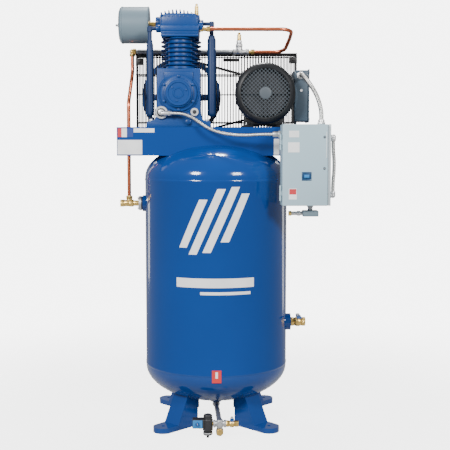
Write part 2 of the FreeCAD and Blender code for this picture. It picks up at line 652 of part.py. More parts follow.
# ---------------------------------------------------------------- drive
def grooved_wheel(label, radius, shaft, hub, hub_length, web, x, windows):
    """A pulley with two belt grooves, its hub on the shaft and a web between them."""
    rim = "(%s - 22)" % radius
    deep = "(%s - belt_height - gap - 2)" % radius
    wide = "(belt_width + 2 * gap)"
    first = "(wheel_width / 2 - 11 - %s / 2)" % wide
    second = "(wheel_width / 2 + 11 - %s / 2)" % wide
    back = "wheel_width"
    mid_low = "(wheel_width / 2 - %s)" % web
    mid_high = "(wheel_width / 2 + %s)" % web
    outline = [(shaft, "0"), (hub, "0"), (hub, mid_low), (rim, mid_low), (rim, "0"), (radius, "0"),
               (radius, first), (deep, first), (deep, "%s + %s" % (first, wide)),
               (radius, "%s + %s" % (first, wide)), (radius, second), (deep, second),
               (deep, "%s + %s" % (second, wide)), (radius, "%s + %s" % (second, wide)),
               (radius, back), (rim, back), (rim, mid_high), (hub, mid_high), (hub, hub_length),
               (shaft, hub_length)]
    wheel = turned(label + "_turned", outline, (x, "wheel_y", AXIS_Z), "y")
    if not windows:
        return wheel
    ring = "(%s + %s) / 2" % (rim, hub)
    holes = [rod("(%s - %s) / 2 - 14" % (rim, hub), "wheel_width", (u, "wheel_y", v), "y")
             for u, v in around_circle(windows, ring, x, AXIS_Z)]
    return cut(wheel, *holes)


def drive_wheels():
    wheel = grooved_wheel("flywheel", "flywheel_radius", "journal", "42", "wheel_width", "6", "pump_x", 6)
    node("motor_pulley", grooved_wheel("pulley", "pulley_radius", "motor_shaft", "28", "wheel_width", "6",
                                       "motor_x", 0))
    end = rod("journal + 8", "6", ("pump_x", "wheel_y + wheel_width", AXIS_Z), "y")
    head = rod("10", "8", ("pump_x", "wheel_y + wheel_width + 6", AXIS_Z), "y")
    node("flywheel", group([wheel, joined(end, head)]))


def belt_outline(big, small, span):
    """The tangent loop round two circles, the big one at the origin, in the plane of X and Z."""
    lean = math.asin((big - small) / span)
    up = FreeCAD.Vector(math.sin(lean), 0, math.cos(lean))
    down = FreeCAD.Vector(math.sin(lean), 0, -math.cos(lean))
    far = FreeCAD.Vector(span, 0, 0)
    edges = [Part.LineSegment(up * big, far + up * small).toShape(),
             Part.Arc(far + up * small, far + FreeCAD.Vector(small, 0, 0), far + down * small).toShape(),
             Part.LineSegment(far + down * small, down * big).toShape(),
             Part.Arc(down * big, FreeCAD.Vector(-big, 0, 0), up * big).toShape()]
    return Part.Wire(edges)


def drive_belts():
    """Two belts that lie in the grooves of both wheels."""
    big = amount("flywheel_radius - belt_height - 2")
    small = amount("pulley_radius - belt_height - 2")
    span = amount("motor_x - pump_x")
    thick = amount("belt_height")
    wide = amount("belt_width")
    along = FreeCAD.Vector(0, wide, 0)
    outside = Part.Face(belt_outline(big + thick, small + thick, span)).extrude(along)
    inside = Part.Face(belt_outline(big, small, span)).extrude(along)
    loop = outside.cut(inside)
    belts = []
    for shift in (-11, 11):
        belt = formed(loop)
        front = amount("wheel_y + wheel_width / 2 - belt_width / 2") + shift
        belt.Placement = FreeCAD.Placement(FreeCAD.Vector(amount("pump_x"), front, amount(AXIS_Z)),
                                           FreeCAD.Rotation())
        belts.append(belt)
    node("drive_belts", group(belts))


def motor():
    """A closed, fan-cooled motor: frame with its feet, bells, rotor, fan and fan cover."""
    frame = rod("motor_radius", "motor_length", ("motor_x", "motor_front", AXIS_Z), "y")
    sole = slab("90", "motor_length", "12", "motor_x", "motor_front", DECK_TOP)
    legs = slab("70", "motor_length - 30", "crank_height - 60", "motor_x", "motor_front + 15", DECK_TOP)
    stator = rod("motor_radius - 40", "motor_length", ("motor_x", "motor_front", AXIS_Z), "y")
    holes = [rod("6.5", "20", (x, y, DECK_TOP + " - 2")) for x, y in MOTOR_BOLTS]
    access = [rod("13", "60", (x, y, DECK_TOP + " + 12")) for x, y in MOTOR_BOLTS]
    node("motor_frame", cut(joined(frame, sole, legs), stator, *holes, *access))
    bore = rod("motor_shaft + fit", "motor_length + 60", ("motor_x", "motor_front - 20", AXIS_Z), "y")
    front = joined(rod("cowl_radius - 3", "14", ("motor_x", "motor_front - 18", AXIS_Z), "y"),
                   rod("motor_radius", "4", ("motor_x", "motor_front - 4", AXIS_Z), "y"))
    back = joined(rod("motor_radius", "14", ("motor_x", MOTOR_BACK, AXIS_Z), "y"),
                  rod("36", "22", ("motor_x", MOTOR_BACK, AXIS_Z), "y"))
    node("motor_end_bells", group([cut(front, bore), cut(back, bore)]))
    shaft_front = "(motor_front - 44)"
    shaft = rod("motor_shaft", "wheel_y + wheel_width - %s" % shaft_front,
                ("motor_x", shaft_front, AXIS_Z), "y")
    core = rod("motor_radius - 42", "motor_length - 30", ("motor_x", "motor_front + 15", AXIS_Z), "y")
    node("motor_rotor", joined(shaft, core))
    hub = rod("24", "22", ("motor_x", "motor_front - 44", AXIS_Z), "y")
    disc = rod("92", "3", ("motor_x", "motor_front - 25", AXIS_Z), "y")
    blades = [slab("2", "20", "70", "motor_x", "motor_front - 44", AXIS_Z + " + 20"),
              slab("2", "20", "70", "motor_x", "motor_front - 44", AXIS_Z + " - 90"),
              slab("35", "20", "4", "motor_x - 55", "motor_front - 44", AXIS_Z + " - 2"),
              slab("35", "20", "4", "motor_x + 55", "motor_front - 44", AXIS_Z + " - 2")]
    hole = rod("motor_shaft", "40", ("motor_x", "motor_front - 50", AXIS_Z), "y")
    node("motor_fan", cut(joined(hub, disc, *blades), hole))
    cowl = joined(rod("cowl_radius", "46", ("motor_x", "motor_front - 46", AXIS_Z), "y"),
                  cone("103", "cowl_radius", "14", ("motor_x", "motor_front - 60", AXIS_Z), "y"))
    inside = rod("cowl_radius - 3", "46", ("motor_x", "motor_front - 46", AXIS_Z), "y")
    dish = cone("99", "cowl_radius - 6", "11", ("motor_x", "motor_front - 57", AXIS_Z), "y")
    vents = [rod("8", "20", (x, "motor_front - 70", z), "y")
             for radius, count in (("40", 8), ("66", 12), ("88", 16))
             for x, z in around_circle(count, radius, "motor_x", AXIS_Z)]
    node("motor_fan_cover", cut(cowl, inside, dish, *vents))


def motor_conduit_box():
    """The motor's wiring box on its right side, with its cover."""
    left, front, floor = "(motor_x + cowl_radius - 1)", "-70", "(%s + 26)" % DECK_TOP
    box = block("60", "130", "215", (left, front, floor))
    hollow = block("54", "124", "209", (left + " + 3", front + " + 3", floor + " + 3"))
    neck = block("30", "60", "60", (left + " - 30", "-35", AXIS_Z + " - 30"))
    drum = rod("motor_radius", "motor_length", ("motor_x", "motor_front", AXIS_Z), "y")
    shell = joined(cut(box, hollow), cut(neck, drum))
    cover = block("4", "138", "223", (left + " + 60", front + " - 4", floor + " - 4"))
    hub = rod("13", "35", (left + " + 26", front, floor + " + 192"), "-y")
    node("motor_conduit_box", group([shell, cover, hub]))


# ---------------------------------------------------------------- belt guard
GUARD_TOP = "(guard_floor + guard_height)"
ROWS = [(4, 75), (79, 203), (207, 287), (291, 371)]
WIRE_PITCH = 12.7
WIRE = 4


def grille(holes):
    """A welded wire panel: a sheet with a slot between each two wires, and room for the shafts."""
    left, floor = amount("guard_left"), amount("guard_floor")
    width, height = amount("guard_width"), amount("guard_height")
    outline = Part.makePolygon([FreeCAD.Vector(left + u, 0, floor + v)
                                for u, v in ((0, 0), (width, 0), (width, height), (0, height), (0, 0))])
    openings = []
    for x, z, radius in holes:
        openings.append(Part.Wire(Part.makeCircle(radius, FreeCAD.Vector(x, 0, z), FreeCAD.Vector(0, 1, 0))))
    columns = int((width - WIRE) / WIRE_PITCH)
    for column in range(columns):
        start = left + WIRE + column * WIRE_PITCH
        end = start + WIRE_PITCH - WIRE
        for low, high in ROWS:
            low_z, high_z = floor + low * height / 385, floor + high * height / 385
            if near_hole(start, end, low_z, high_z, holes):
                continue
            openings.append(Part.makePolygon([FreeCAD.Vector(x, 0, z) for x, z in (
                (start, low_z), (end, low_z), (end, high_z), (start, high_z), (start, low_z))]))
    sheet = Part.makeFace([outline] + openings, "Part::FaceMakerBullseye")
    return sheet.extrude(FreeCAD.Vector(0, WIRE, 0))


def near_hole(start, end, low, high, holes):
    """Whether a slot would break into a round hole or its ring."""
    for x, z, radius in holes:
        nearest_x = min(max(x, start), end)
        nearest_z = min(max(z, low), high)
        if math.hypot(nearest_x - x, nearest_z - z) < radius + WIRE:
            return True
    return False


def belt_guard():
    axis = amount(AXIS_Z)
    front = formed(grille([(amount("pump_x"), axis, 54), (amount("motor_x"), axis, 40)]))
    front.Placement = FreeCAD.Placement(FreeCAD.Vector(0, amount("guard_front"), 0), FreeCAD.Rotation())
    node("guard_front", front)
    rear = formed(grille([]))
    rear_y = amount("guard_front + guard_depth") - WIRE
    rear.Placement = FreeCAD.Placement(FreeCAD.Vector(0, rear_y, 0), FreeCAD.Rotation())
    node("guard_rear", rear)
    depth = "guard_depth - %d" % (2 * WIRE)
    start = "guard_front + %d" % WIRE
    right = "(guard_left + guard_width - 3)"
    strips = [block("guard_width", depth, "3", ("guard_left", start, GUARD_TOP + " - 3")),
              block("guard_width", depth, "3", ("guard_left", start, "guard_floor")),
              block("3", depth, "guard_height - 6", ("guard_left", start, "guard_floor + 3")),
              block("3", depth, "guard_height - 6", (right, start, "guard_floor + 3"))]
    for x in ("guard_left + 20", "guard_left + guard_width - 60"):
        strips.append(block("40", "guard_front - deck_depth / 2", "26",
                            (x, "deck_depth / 2", "%s - 40" % DECK_TOP)))
    node("guard_frame", group(strips))


# ---------------------------------------------------------------- air line
def air_line():
    """Copper from the head round to the safety valve's cross, a cooling tube, and copper down."""
    high = amount(HEAD_TOP)
    run_z = amount(CASE_TOP) + 95
    back = amount("guard_front") - 15
    right = amount("motor_x + line_reach")
    line_z = high - 63
    start_x = amount("pump_x + 5 + head_half") + 47
    front = amount(HEAD_FRONT) + 28
    left = amount("-tank_radius") - 65
    cross_x = amount("motor_x") - 106
    up_points = [(start_x, front, line_z), (right, front, line_z), (right, 20, line_z - 23),
                 (right - 15, back, run_z), (cross_x + 71, back, run_z)]
    drop_x = amount("-tank_radius") - 70
    down_points = [(left, back, run_z - 19), (left, back, run_z - 90), (drop_x, 0, run_z - 230),
                   (drop_x, 0, amount(INLET_Z) + 32)]
    bend = 6 * amount("tube_radius")
    radius = amount("tube_radius")
    tubes = [formed(bent_tube(up_points, radius, bend)), formed(bent_tube(down_points, radius, bend))]
    node("copper_tubes", group(tubes))
    head_side = "pump_x + 5 + head_half"
    fittings = [rod("11", "47", (head_side, front, line_z), "x"),
                rod("11", "24", (cross_x + 47, back, run_z), "x")]
    elbow = joined(rod("14", "16", (left, back, run_z), "x"), ball("14", (left, back, run_z)),
                   rod("14", "19", (left, back, run_z - 19)))
    cross = joined(rod("15", "71", (cross_x - 24, back, run_z), "x"),
                   rod("15", "25", (cross_x + 4, back, run_z - 5)))
    hexagon = rod("16", "30", (cross_x + 4, back, run_z + 20))
    bonnet = rod("9", "26", (cross_x + 4, back, run_z + 50))
    hollow = rod("3.05", "40", (cross_x + 4, back, run_z + 40))
    node("line_fittings", group(fittings + [elbow, cross]))
    node("safety_valve_body", cut(joined(hexagon, bonnet), hollow))
    stem = joined(rod("3", "36", (cross_x + 4, back, run_z + 44)), rod("7", "7", (cross_x + 4, back, run_z + 78)))
    node("safety_valve_stem", stem)
    length = cross_x - 24 - (left + 16)
    node("aftercooler_tube", rod("12", length, (left + 16, back, run_z), "x"))


def check_valve():
    """The brass check valve, its two-bolt flange and the nut on the tube."""
    z = INLET_Z
    x = "(-tank_radius - 70)"
    body = joined(rod("16", "75", ("-tank_radius - 109", "0", z), "x"),
                  rod("14", "32", (x, "0", z)))
    flange = rod("31", "12", ("-tank_radius - 28", "0", z), "x")
    bridge = rod("12", "23", ("-tank_radius - 34", "0", z), "x")
    screws = [bolt("4", "10", "7", "6", ("-tank_radius - 28", "0", "%s + %d" % (z, shift)), "-x")
              for shift in (-21, 21)]
    holes = [rod("4.2", "14", ("-tank_radius - 29", "0", "%s + %d" % (z, shift)), "x") for shift in (-21, 21)]
    bore = rod("8", "66", ("-tank_radius - 66", "0", z), "x")
    gasket = rod("31", "5", ("-tank_radius - 16", "0", z), "x")
    seat = rod("12", "40", ("-tank_radius - 40", "0", z), "x")
    plate = cut(flange, seat, *holes)
    ring = cut(gasket, seat)
    valve = cut(joined(body, bridge), bore)
    node("check_valve", group([valve, plate, ring] + screws))


def lever(stem_radius, length, width, x, y, z, rise):
    """A flat handle that lies towards the front, on a square stem's nut."""
    arm = slab(str(width / 2), str(length), "3", x, "%s - %s" % (y, length), "%s + %s" % (z, rise))
    hub = rod(str(width / 2 + 1), "6", (x, y, "%s + %s" % (z, rise)))
    stem = rod(stem_radius, str(rise + 1), (x, y, "%s - 1" % z))
    return joined(arm, hub, stem)


def outlet():
    """The ball valve on the tank's right side, and its quarter-turn handle."""
    start = "(tank_radius + 20)"
    body = joined(rod("17", "65", (start, "0", "valve_height"), "x"),
                  rod("20", "14", (start, "0", "valve_height"), "x"),
                  rod("20", "14", (start + " + 51", "0", "valve_height"), "x"),
                  ball("21", (start + " + 32", "0", "valve_height")),
                  rod("8", "26", (start + " + 32", "0", "valve_height")))
    bore = rod("12", "20", (start + " + 45", "0", "valve_height"), "x")
    way = rod("9", "60", (start, "0", "valve_height"), "x")
    stem_hole = rod("4 + fit", "6", (start + " + 32", "0", "valve_height + 21"))
    node("outlet_valve", cut(body, bore, way, stem_hole))
    node("outlet_handle", lever("4", 84, 22, start + " + 32", "0", "(valve_height + 26)", 1))


def drain():
    """The pipe from the bottom head to the front, a cross with a timed drain and a hand valve."""
    y, z, x = "drain_y", "drain_z", 14
    low = amount("ground_gap") - 34
    front = amount(y)
    level = amount(z)
    run = formed(bent_tube([(0, 0, low), (x, front + 15, level)], 10.5))
    drop = rod("12", "13", ("0", "0", "ground_gap - 34"))
    cross = joined(rod("15", "52", (x - 26, y, z), "x"), rod("15", "40", (x, y + " + 20", z), "-y"),
                   rod("15", "46", (x, y, z + " - 32")),
                   rod("16", "38", (x, y + " + 16", z + " - 32"), "-y"),
                   rod("11", "5", (x, y + " - 22", z + " - 32"), "-y"))
    node("drain_manifold", joined(run, ball("16", ("0", "0", "ground_gap - 34")), drop, cross))
    timer = joined(rod("21", "85", (x - 48, y, z + " - 45")), rod("8", "22", (x - 48, y, z), "x"),
                   block("48", "40", "38", (x - 111, "drain_y - 20", "drain_z - 16")),
                   rod("5", "20", (x - 48, y, z + " - 58")))
    knob_x, knob_z = x - 90, "drain_z + 3"
    knob_hole = rod("3 + fit", "8", (knob_x, "drain_y - 12", knob_z), "-y")
    node("auto_drain", cut(timer, knob_hole))
    knob = joined(rod("3", "8", (knob_x, "drain_y - 13", knob_z), "-y"),
                  rod("8", "9", (knob_x, "drain_y - 20.3", knob_z), "-y"))
    node("timer_knob", knob)
    hand = joined(rod("13", "51", (x + 26, y, z), "x"), ball("15", (x + 50, y, z)),
                  rod("6", "19", (x + 50, y, z)))
    hand_bore = rod("7", "30", (x + 58, y, z), "x")
    stem_hole = rod("3 + fit", "6", (x + 50, y, z + " + 14"))
    node("drain_valve", cut(hand, hand_bore, stem_hole))
    node("drain_handle", lever("3", 44, 16, str(x + 50), y, "(drain_z + 19)", 1))


# ---------------------------------------------------------------- controls
BOX_FRONT = "(box_back - box_depth)"
HINGE_X = "(box_left - 6)"
HINGE_Y = BOX_FRONT
KNUCKLES = [(20, "body"), (41, "door"), (62, "body"), (224, "body"), (245, "door"), (266, "body")]


def knuckle_parts(owner):
    """One side's hinge knuckles, each with the leaf that ties it to its sheet."""
    parts = []
    for level, side in KNUCKLES:
        if side != owner:
            continue
        z = "box_floor + %s * box_height / 326" % level
        back = HINGE_Y + (" + 1" if owner == "body" else " - 4.5")
        parts.append(rod("5", "20", (HINGE_X, HINGE_Y, z)))
        parts.append(block("8", "3.5", "20", (HINGE_X, back, z)))
    return parts


def control_box():
    """A sheet steel box on brackets in front of the deck, with a hinged door."""
    right_face = "(box_left + box_width)"
    shell = block("box_width", "box_depth", "box_height", ("box_left", BOX_FRONT, "box_floor"))
    hollow = block("box_width - 2 * box_wall", "box_depth - box_wall", "box_height - 2 * box_wall",
                   ("box_left + box_wall", BOX_FRONT, "box_floor + box_wall"))
    brackets = [block("30", "-box_back - deck_depth / 2", "40", ("box_left + %d" % shift, "box_back",
                                                               DECK_TOP + " - 60"))
                for shift in (30, 100)]
    pin_way = rod("2.5", "box_height", (HINGE_X, HINGE_Y, "box_floor"))
    body = cut(joined(shell, *knuckle_parts("body")), hollow, pin_way)
    pins = [rod("2.5", "62", (HINGE_X, HINGE_Y, "box_floor + %s * box_height / 326" % level))
            for level in (20, 224)]
    power = rod("11", "10", (right_face + " - 5", "box_back - 30", "box_floor + 120"), "x")
    hubs = [rod("13", "35", ("box_left - 35", "box_back - 70", "box_floor + box_height - 39"), "x"),
            rod("14", "20", (right_face + " - 34", "box_back - 70", "box_floor + box_height"))]
    side = right_face + " + 15"
    loops = []
    for level in ("box_floor + 39", "box_floor + box_height - 50"):
        loops.append(joined(rod("11", "15", (right_face, "box_back - 70", level), "x"),
                            ball("11", (side, "box_back - 70", level)),
                            rod("11", "14", (side, "box_back - 70", level), "z" if level.endswith("39")
                                else "-z")))
    node("control_box", group([cut(body, power)] + brackets + pins + hubs + loops))


def box_door():
    """The door: a shallow pan with a raised edge, two latch screws and the reset button's hole."""
    width = "(box_width - 14)"
    front = "(%s - gap - door_depth)" % BOX_FRONT
    pan = block(width, "door_depth", "box_height", ("box_left", front, "box_floor"))
    inside = block(width + " - 2 * box_wall", "door_depth", "box_height - 2 * box_wall",
                   ("box_left + box_wall", front + " + box_wall", "box_floor + box_wall"))
    hole = rod("15 + gap", "door_depth", ("box_left + 97", front + " - 2", "box_floor + 119"), "y")
    latches = [rod("5", "3", ("box_left + 168", front, "box_floor + %d" % level), "-y")
               for level in (150, 275)]
    pin_way = rod("2.5 + fit", "box_height", (HINGE_X, HINGE_Y, "box_floor"))
    plain = cut(pan, inside, hole)
    node("box_door", cut(joined(plain, *knuckle_parts("door"), *latches), pin_way))
    button = joined(rod("15", "14", ("box_left + 97", front + " - 8", "box_floor + 119"), "y"),
                    rod("18", "2", ("box_left + 97", front + " + box_wall + gap", "box_floor + 119"), "y"))
    node("reset_button", button)


def starter():
    """The contactor and its overload relay on the box's back, and the pressure switch below."""
    rail_y = "box_back - box_wall"
    contactor = joined(block("90", "12", "150", ("box_left + 52", rail_y + " - 12", "box_floor + 110")),
                       block("74", "70", "80", ("box_left + 60", rail_y + " - 80", "box_floor + 165")),
                       block("74", "62", "50", ("box_left + 60", rail_y + " - 72", "box_floor + 114")))
    node("contactor", contactor)
    middle = "box_left + 119"
    body = joined(block("64", "60", "24", ("box_left + 87", "box_back - 100", "box_floor - 46")),
                  rod("12", "22", (middle, "box_back - 70", "box_floor - 22")),
                  rod("9", "118", ("box_left + 30", "box_back - 70", "box_floor - 34"), "x"))
    node("pressure_switch", body)


# ---------------------------------------------------------------- conduits
SENSOR_ROUTE = [(-183, -149, 1321), (-150, -149, 1321), (-118, -157, 1313), (-88, -170, 1297),
                (-40, -190, 1262), (10, -207, 1240), (70, -222, 1230), (128, -232, 1229),
                (182, -235, 1233), (230, -235, 1233)]
MOTOR_ROUTE = [(356, -105, 1482), (356, -131, 1482), (359, -160, 1475), (366, -187, 1463),
               (375, -208, 1447), (390, -230, 1421), (409, -241, 1385), (422, -240, 1345),
               (427, -235, 1318), (427, -235, 1292)]
SIDE_ROUTE = [(476, -235, 999), (476, -235, 1036), (480, -237, 1083), (480, -237, 1130),
              (476, -235, 1172), (476, -235, 1208)]


def conduits():
    """Flexible steel conduits, each held by a connector at both ends."""
    node("sensor_conduit", formed(bent_tube(SENSOR_ROUTE, 7.5)))
    node("motor_conduit", formed(bent_tube(MOTOR_ROUTE, 9.5)))
    node("side_conduit", formed(bent_tube(SIDE_ROUTE, 8)))


# ---------------------------------------------------------------- build and export
pressure_vessel()
tank_couplings()
feet()
deck()
mounting_bolts()
crankcase()
bearing_cover()
crankshaft()
crank_bearings()
running_gear()
cylinders()
cylinder_head()
intercooler()
relief_valve()
case_fittings()
air_filter()
drive_wheels()
drive_belts()
motor()
motor_conduit_box()
belt_guard()
air_line()
check_valve()
outlet()
drain()
control_box()
box_door()
starter()
conduits()
doc.recompute()

failed = [item.Name for item in doc.Objects if "Invalid" in item.State or "Error" in item.State]
if failed:
    raise ValueError("objects that did not rebuild: %s" % failed)
for item in nodes:
    if item.Shape.isNull() or not item.Shape.isValid() or not item.Shape.Solids:
        raise ValueError("no valid shape: " + item.Label)

os.makedirs("parts", exist_ok=True)
for item in nodes:
    item.Shape.exportStep("parts/%s.step" % item.Label)
    print("%-20s %3d solids %12.0f mm3" % (item.Label, len(item.Shape.Solids), item.Shape.Volume))
print(len(nodes), "nodes")
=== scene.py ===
import math

import bmesh
import bpy
from mathutils import Matrix, Vector


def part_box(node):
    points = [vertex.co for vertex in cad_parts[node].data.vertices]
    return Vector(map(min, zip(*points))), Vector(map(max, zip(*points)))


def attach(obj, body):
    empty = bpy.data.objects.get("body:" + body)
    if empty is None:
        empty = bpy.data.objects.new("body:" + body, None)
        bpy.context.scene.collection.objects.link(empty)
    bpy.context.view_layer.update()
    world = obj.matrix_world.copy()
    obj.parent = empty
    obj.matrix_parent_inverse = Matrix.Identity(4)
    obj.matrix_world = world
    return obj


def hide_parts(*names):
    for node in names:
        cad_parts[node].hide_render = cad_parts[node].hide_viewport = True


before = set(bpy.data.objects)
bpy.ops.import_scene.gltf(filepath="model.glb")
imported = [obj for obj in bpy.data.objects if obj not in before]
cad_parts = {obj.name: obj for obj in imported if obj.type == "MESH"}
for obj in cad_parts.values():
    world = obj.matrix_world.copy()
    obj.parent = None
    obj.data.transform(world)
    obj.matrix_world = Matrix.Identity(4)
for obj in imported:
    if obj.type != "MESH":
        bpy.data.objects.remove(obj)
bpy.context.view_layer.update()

# ---------------------------------------------------------------- pressure vessel
# A rolled shell and two pressed elliptical heads of steel plate, welded all round and
# sprayed with gloss blue enamel.  Outlines are in millimetres, like a shop drawing.
STEEL_BODY = "tank_and_frame"
MM = 0.001
AXES = {
    "z": Matrix.Identity(4),
    "-z": Matrix.Rotation(math.pi, 4, "X"),
    "x": Matrix.Rotation(math.pi / 2, 4, "Y"),
    "-x": Matrix.Rotation(-math.pi / 2, 4, "Y"),
    "y": Matrix.Rotation(-math.pi / 2, 4, "X"),
    "-y": Matrix.Rotation(math.pi / 2, 4, "X"),
}


def span(node):
    """A CAD node's lowest and highest corners, in millimetres."""
    low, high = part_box(node)
    return low / MM, high / MM


def middle(node):
    low, high = span(node)
    return (low + high) / 2


class Field:
    """A shader socket that Python's operators work on."""

    def __init__(self, finish, socket):
        self.finish = finish
        self.socket = socket

    def math(self, operation, first, second):
        return self.finish.add("Math", {"operation": operation}, {0: first, 1: second})

    def __add__(self, other):
        return self.math("ADD", self, other)

    def __radd__(self, other):
        return self.math("ADD", other, self)

    def __sub__(self, other):
        return self.math("SUBTRACT", self, other)

    def __rsub__(self, other):
        return self.math("SUBTRACT", other, self)

    def __mul__(self, other):
        return self.math("MULTIPLY", self, other)

    def __rmul__(self, other):
        return self.math("MULTIPLY", other, self)

    def __gt__(self, other):
        return self.math("GREATER_THAN", self, other)


class Finish:
    """One material: a Principled shader and the nodes that feed it."""

    def __init__(self, name, **uniform):
        self.material = bpy.data.materials.new(name)
        self.material.use_nodes = True
        self.tree = self.material.node_tree
        self.shader = self.tree.nodes["Principled BSDF"]
        for words, value in uniform.items():
            self.shader.inputs[words.replace("_", " ")].default_value = value

    def add(self, kind, settings=None, inputs=None, output=0):
        """A node of one type, with its settings made first and then its sockets filled."""
        node = self.tree.nodes.new("ShaderNode" + kind)
        for key, value in (settings or {}).items():
            if key == "stops":
                ends = node.color_ramp.elements
                for element, (place, colour) in zip(ends, value):
                    element.position = place
                    element.color = colour
            else:
                setattr(node, key, value)
        for key, value in (inputs or {}).items():
            if isinstance(value, Field):
                self.tree.links.new(value.socket, node.inputs[key])
            else:
                node.inputs[key].default_value = value
        return Field(self, node.outputs[output])

    def feed(self, socket, value):
        self.tree.links.new(value.socket, self.shader.inputs[socket])

    def place(self, stretch=(1, 1, 1)):
        spot = self.add("TexCoord", output="Object")
        return self.add("Mapping", inputs={"Vector": spot, "Scale": stretch})

    def noise(self, scale, detail=3.0, stretch=(1, 1, 1)):
        return self.add("TexNoise", inputs={"Vector": self.place(stretch), "Scale": scale, "Detail": detail})

    def blend(self, factor, first, second):
        return self.add("Mix", {"data_type": "RGBA"}, {"Factor": factor, 6: first, 7: second}, output=2)

    def bump(self, height, strength, depth=0.001):
        self.feed("Normal", self.add("Bump", inputs={"Height": height, "Strength": strength,
                                                     "Distance": depth}))


def shade(colour, amount):
    return tuple(min(1, part * amount) for part in colour[:3]) + (1,)


def enamel(name, colour, rough=0.09, peel=0.05, coat=0.35):
    """Sprayed gloss paint: a faint orange peel, a slow drift of tone and a film of dust."""
    paint = Finish(name, Coat_Weight=coat, Coat_Roughness=0.05, Specular_IOR_Level=0.4)
    drift = paint.noise(3.0, 4)
    dust = paint.noise(40, 6)
    paint.feed("Base Color", paint.blend(drift, shade(colour, 0.88), shade(colour, 1.12)))
    paint.feed("Roughness", rough + 0.08 * dust)
    paint.bump(paint.noise(420, 2), peel)
    return paint.material


def casting(name, colour):
    """Painted sand casting: grainy skin under satin paint, darker in its pits."""
    paint = Finish(name, Coat_Weight=0.15, Coat_Roughness=0.2, Specular_IOR_Level=0.35)
    grain = paint.noise(260, 5)
    patch = paint.noise(14, 5)
    paint.feed("Base Color", paint.blend(grain * 0.5 + patch * 0.5, shade(colour, 0.75), shade(colour, 1.22)))
    paint.feed("Roughness", 0.26 + 0.25 * grain)
    paint.bump(grain + 0.6 * patch, 0.35, 0.0012)
    return paint.material


def metal(name, colour, rough=0.25, stretch=(1, 1, 30), wear=0.25, grooves=0.1):
    """Bare metal: fine tool marks along one way and a blotchy tarnish."""
    paint = Finish(name, Metallic=1.0)
    marks = paint.noise(90, 4, stretch)
    blotch = paint.noise(25, 5)
    paint.feed("Base Color", paint.blend(blotch, shade(colour, 1 - wear), shade(colour, 1 + wear / 2)))
    paint.feed("Roughness", rough + 0.18 * blotch + 0.08 * marks)
    paint.bump(marks, grooves, 0.0004)
    return paint.material


def moulded(name, colour, rough=0.4, grain=0.12, coat=0.0):
    """Moulded plastic or rubber with a fine spark-eroded grain."""
    paint = Finish(name, Coat_Weight=coat)
    fine = paint.noise(900, 2)
    slow = paint.noise(22, 4)
    paint.feed("Base Color", paint.blend(slow, shade(colour, 0.8), shade(colour, 1.25)))
    paint.feed("Roughness", rough + 0.15 * fine)
    paint.bump(fine, grain, 0.0005)
    return paint.material


def seat(part, at=(0, 0, 0), axis="z"):
    """Turn a part from the Z axis to another and put it in its place."""
    bmesh.ops.transform(part, matrix=Matrix.Translation(Vector(at)) @ AXES[axis], verts=part.verts)
    return part


def turned(outline, at=(0, 0, 0), axis="z", steps=64, closed=False):
    """Spin an outline of (radius, distance along) about its axis."""
    part = bmesh.new()
    dots = [part.verts.new((max(radius, 0), 0, along)) for radius, along in outline]
    pairs = list(zip(dots, dots[1:]))
    if closed:
        pairs.append((dots[-1], dots[0]))
    lines = [part.edges.new(pair) for pair in pairs]
    bmesh.ops.spin(part, geom=dots + lines, cent=(0, 0, 0), axis=(0, 0, 1), dvec=(0, 0, 0),
                   angle=math.tau, steps=steps, use_merge=True, use_duplicate=False)
    bmesh.ops.remove_doubles(part, verts=part.verts, dist=0.001)
    bmesh.ops.recalc_face_normals(part, faces=part.faces)
    return seat(part, at, axis)


def bar(radius, length, at, axis="z", edge=0.6, steps=40):
    """A turned bar with rounded ends."""
    edge = min(edge, radius / 3, length / 3)
    corner = [(math.sin(turn), math.cos(turn)) for turn in (0, math.pi / 4, math.pi / 2)]
    outline = [(0, 0)]
    outline += [(radius - edge + edge * sine, edge - edge * cosine) for sine, cosine in corner]
    outline += [(radius - edge + edge * cosine, length - edge + edge * sine) for sine, cosine in corner]
    return turned(outline + [(0, length)], at, axis, steps)


def ring(outer, inner, length, at, axis="z", edge=0.6, steps=64):
    """A turned ring with chamfered corners."""
    shape = [(inner, edge), (inner + edge, 0), (outer - edge, 0), (outer, edge),
             (outer, length - edge), (outer - edge, length), (inner + edge, length), (inner, length - edge)]
    return turned(shape, at, axis, steps, closed=True)


def rounded(part, edge, segments=3, angle=0.5):
    """Bevel every edge sharper than an angle."""
    sharp = [e for e in part.edges if len(e.link_faces) == 2 and e.calc_face_angle() > angle]
    bmesh.ops.bevel(part, geom=sharp, offset=edge, segments=segments, profile=0.5, material=-1,
                    affect="EDGES", clamp_overlap=True)
    return part


def block(low, high, edge=1.0, segments=3):
    """A box between two corners, with rounded edges."""
    low, high = Vector(low), Vector(high)
    part = bmesh.new()
    bmesh.ops.create_cube(part, size=1)
    bmesh.ops.scale(part, vec=high - low, verts=part.verts)
    bmesh.ops.translate(part, vec=(low + high) / 2, verts=part.verts)
    return rounded(part, edge, segments) if edge else part


def hexagon(across, length, at, axis="z", edge=0.8):
    """A hexagon of a size across its flats."""
    part = bmesh.new()
    radius = across / math.sqrt(3)
    bmesh.ops.create_cone(part, cap_ends=True, segments=6, radius1=radius, radius2=radius, depth=length)
    bmesh.ops.translate(part, vec=(0, 0, length / 2), verts=part.verts)
    return seat(rounded(part, edge, 2), at, axis)


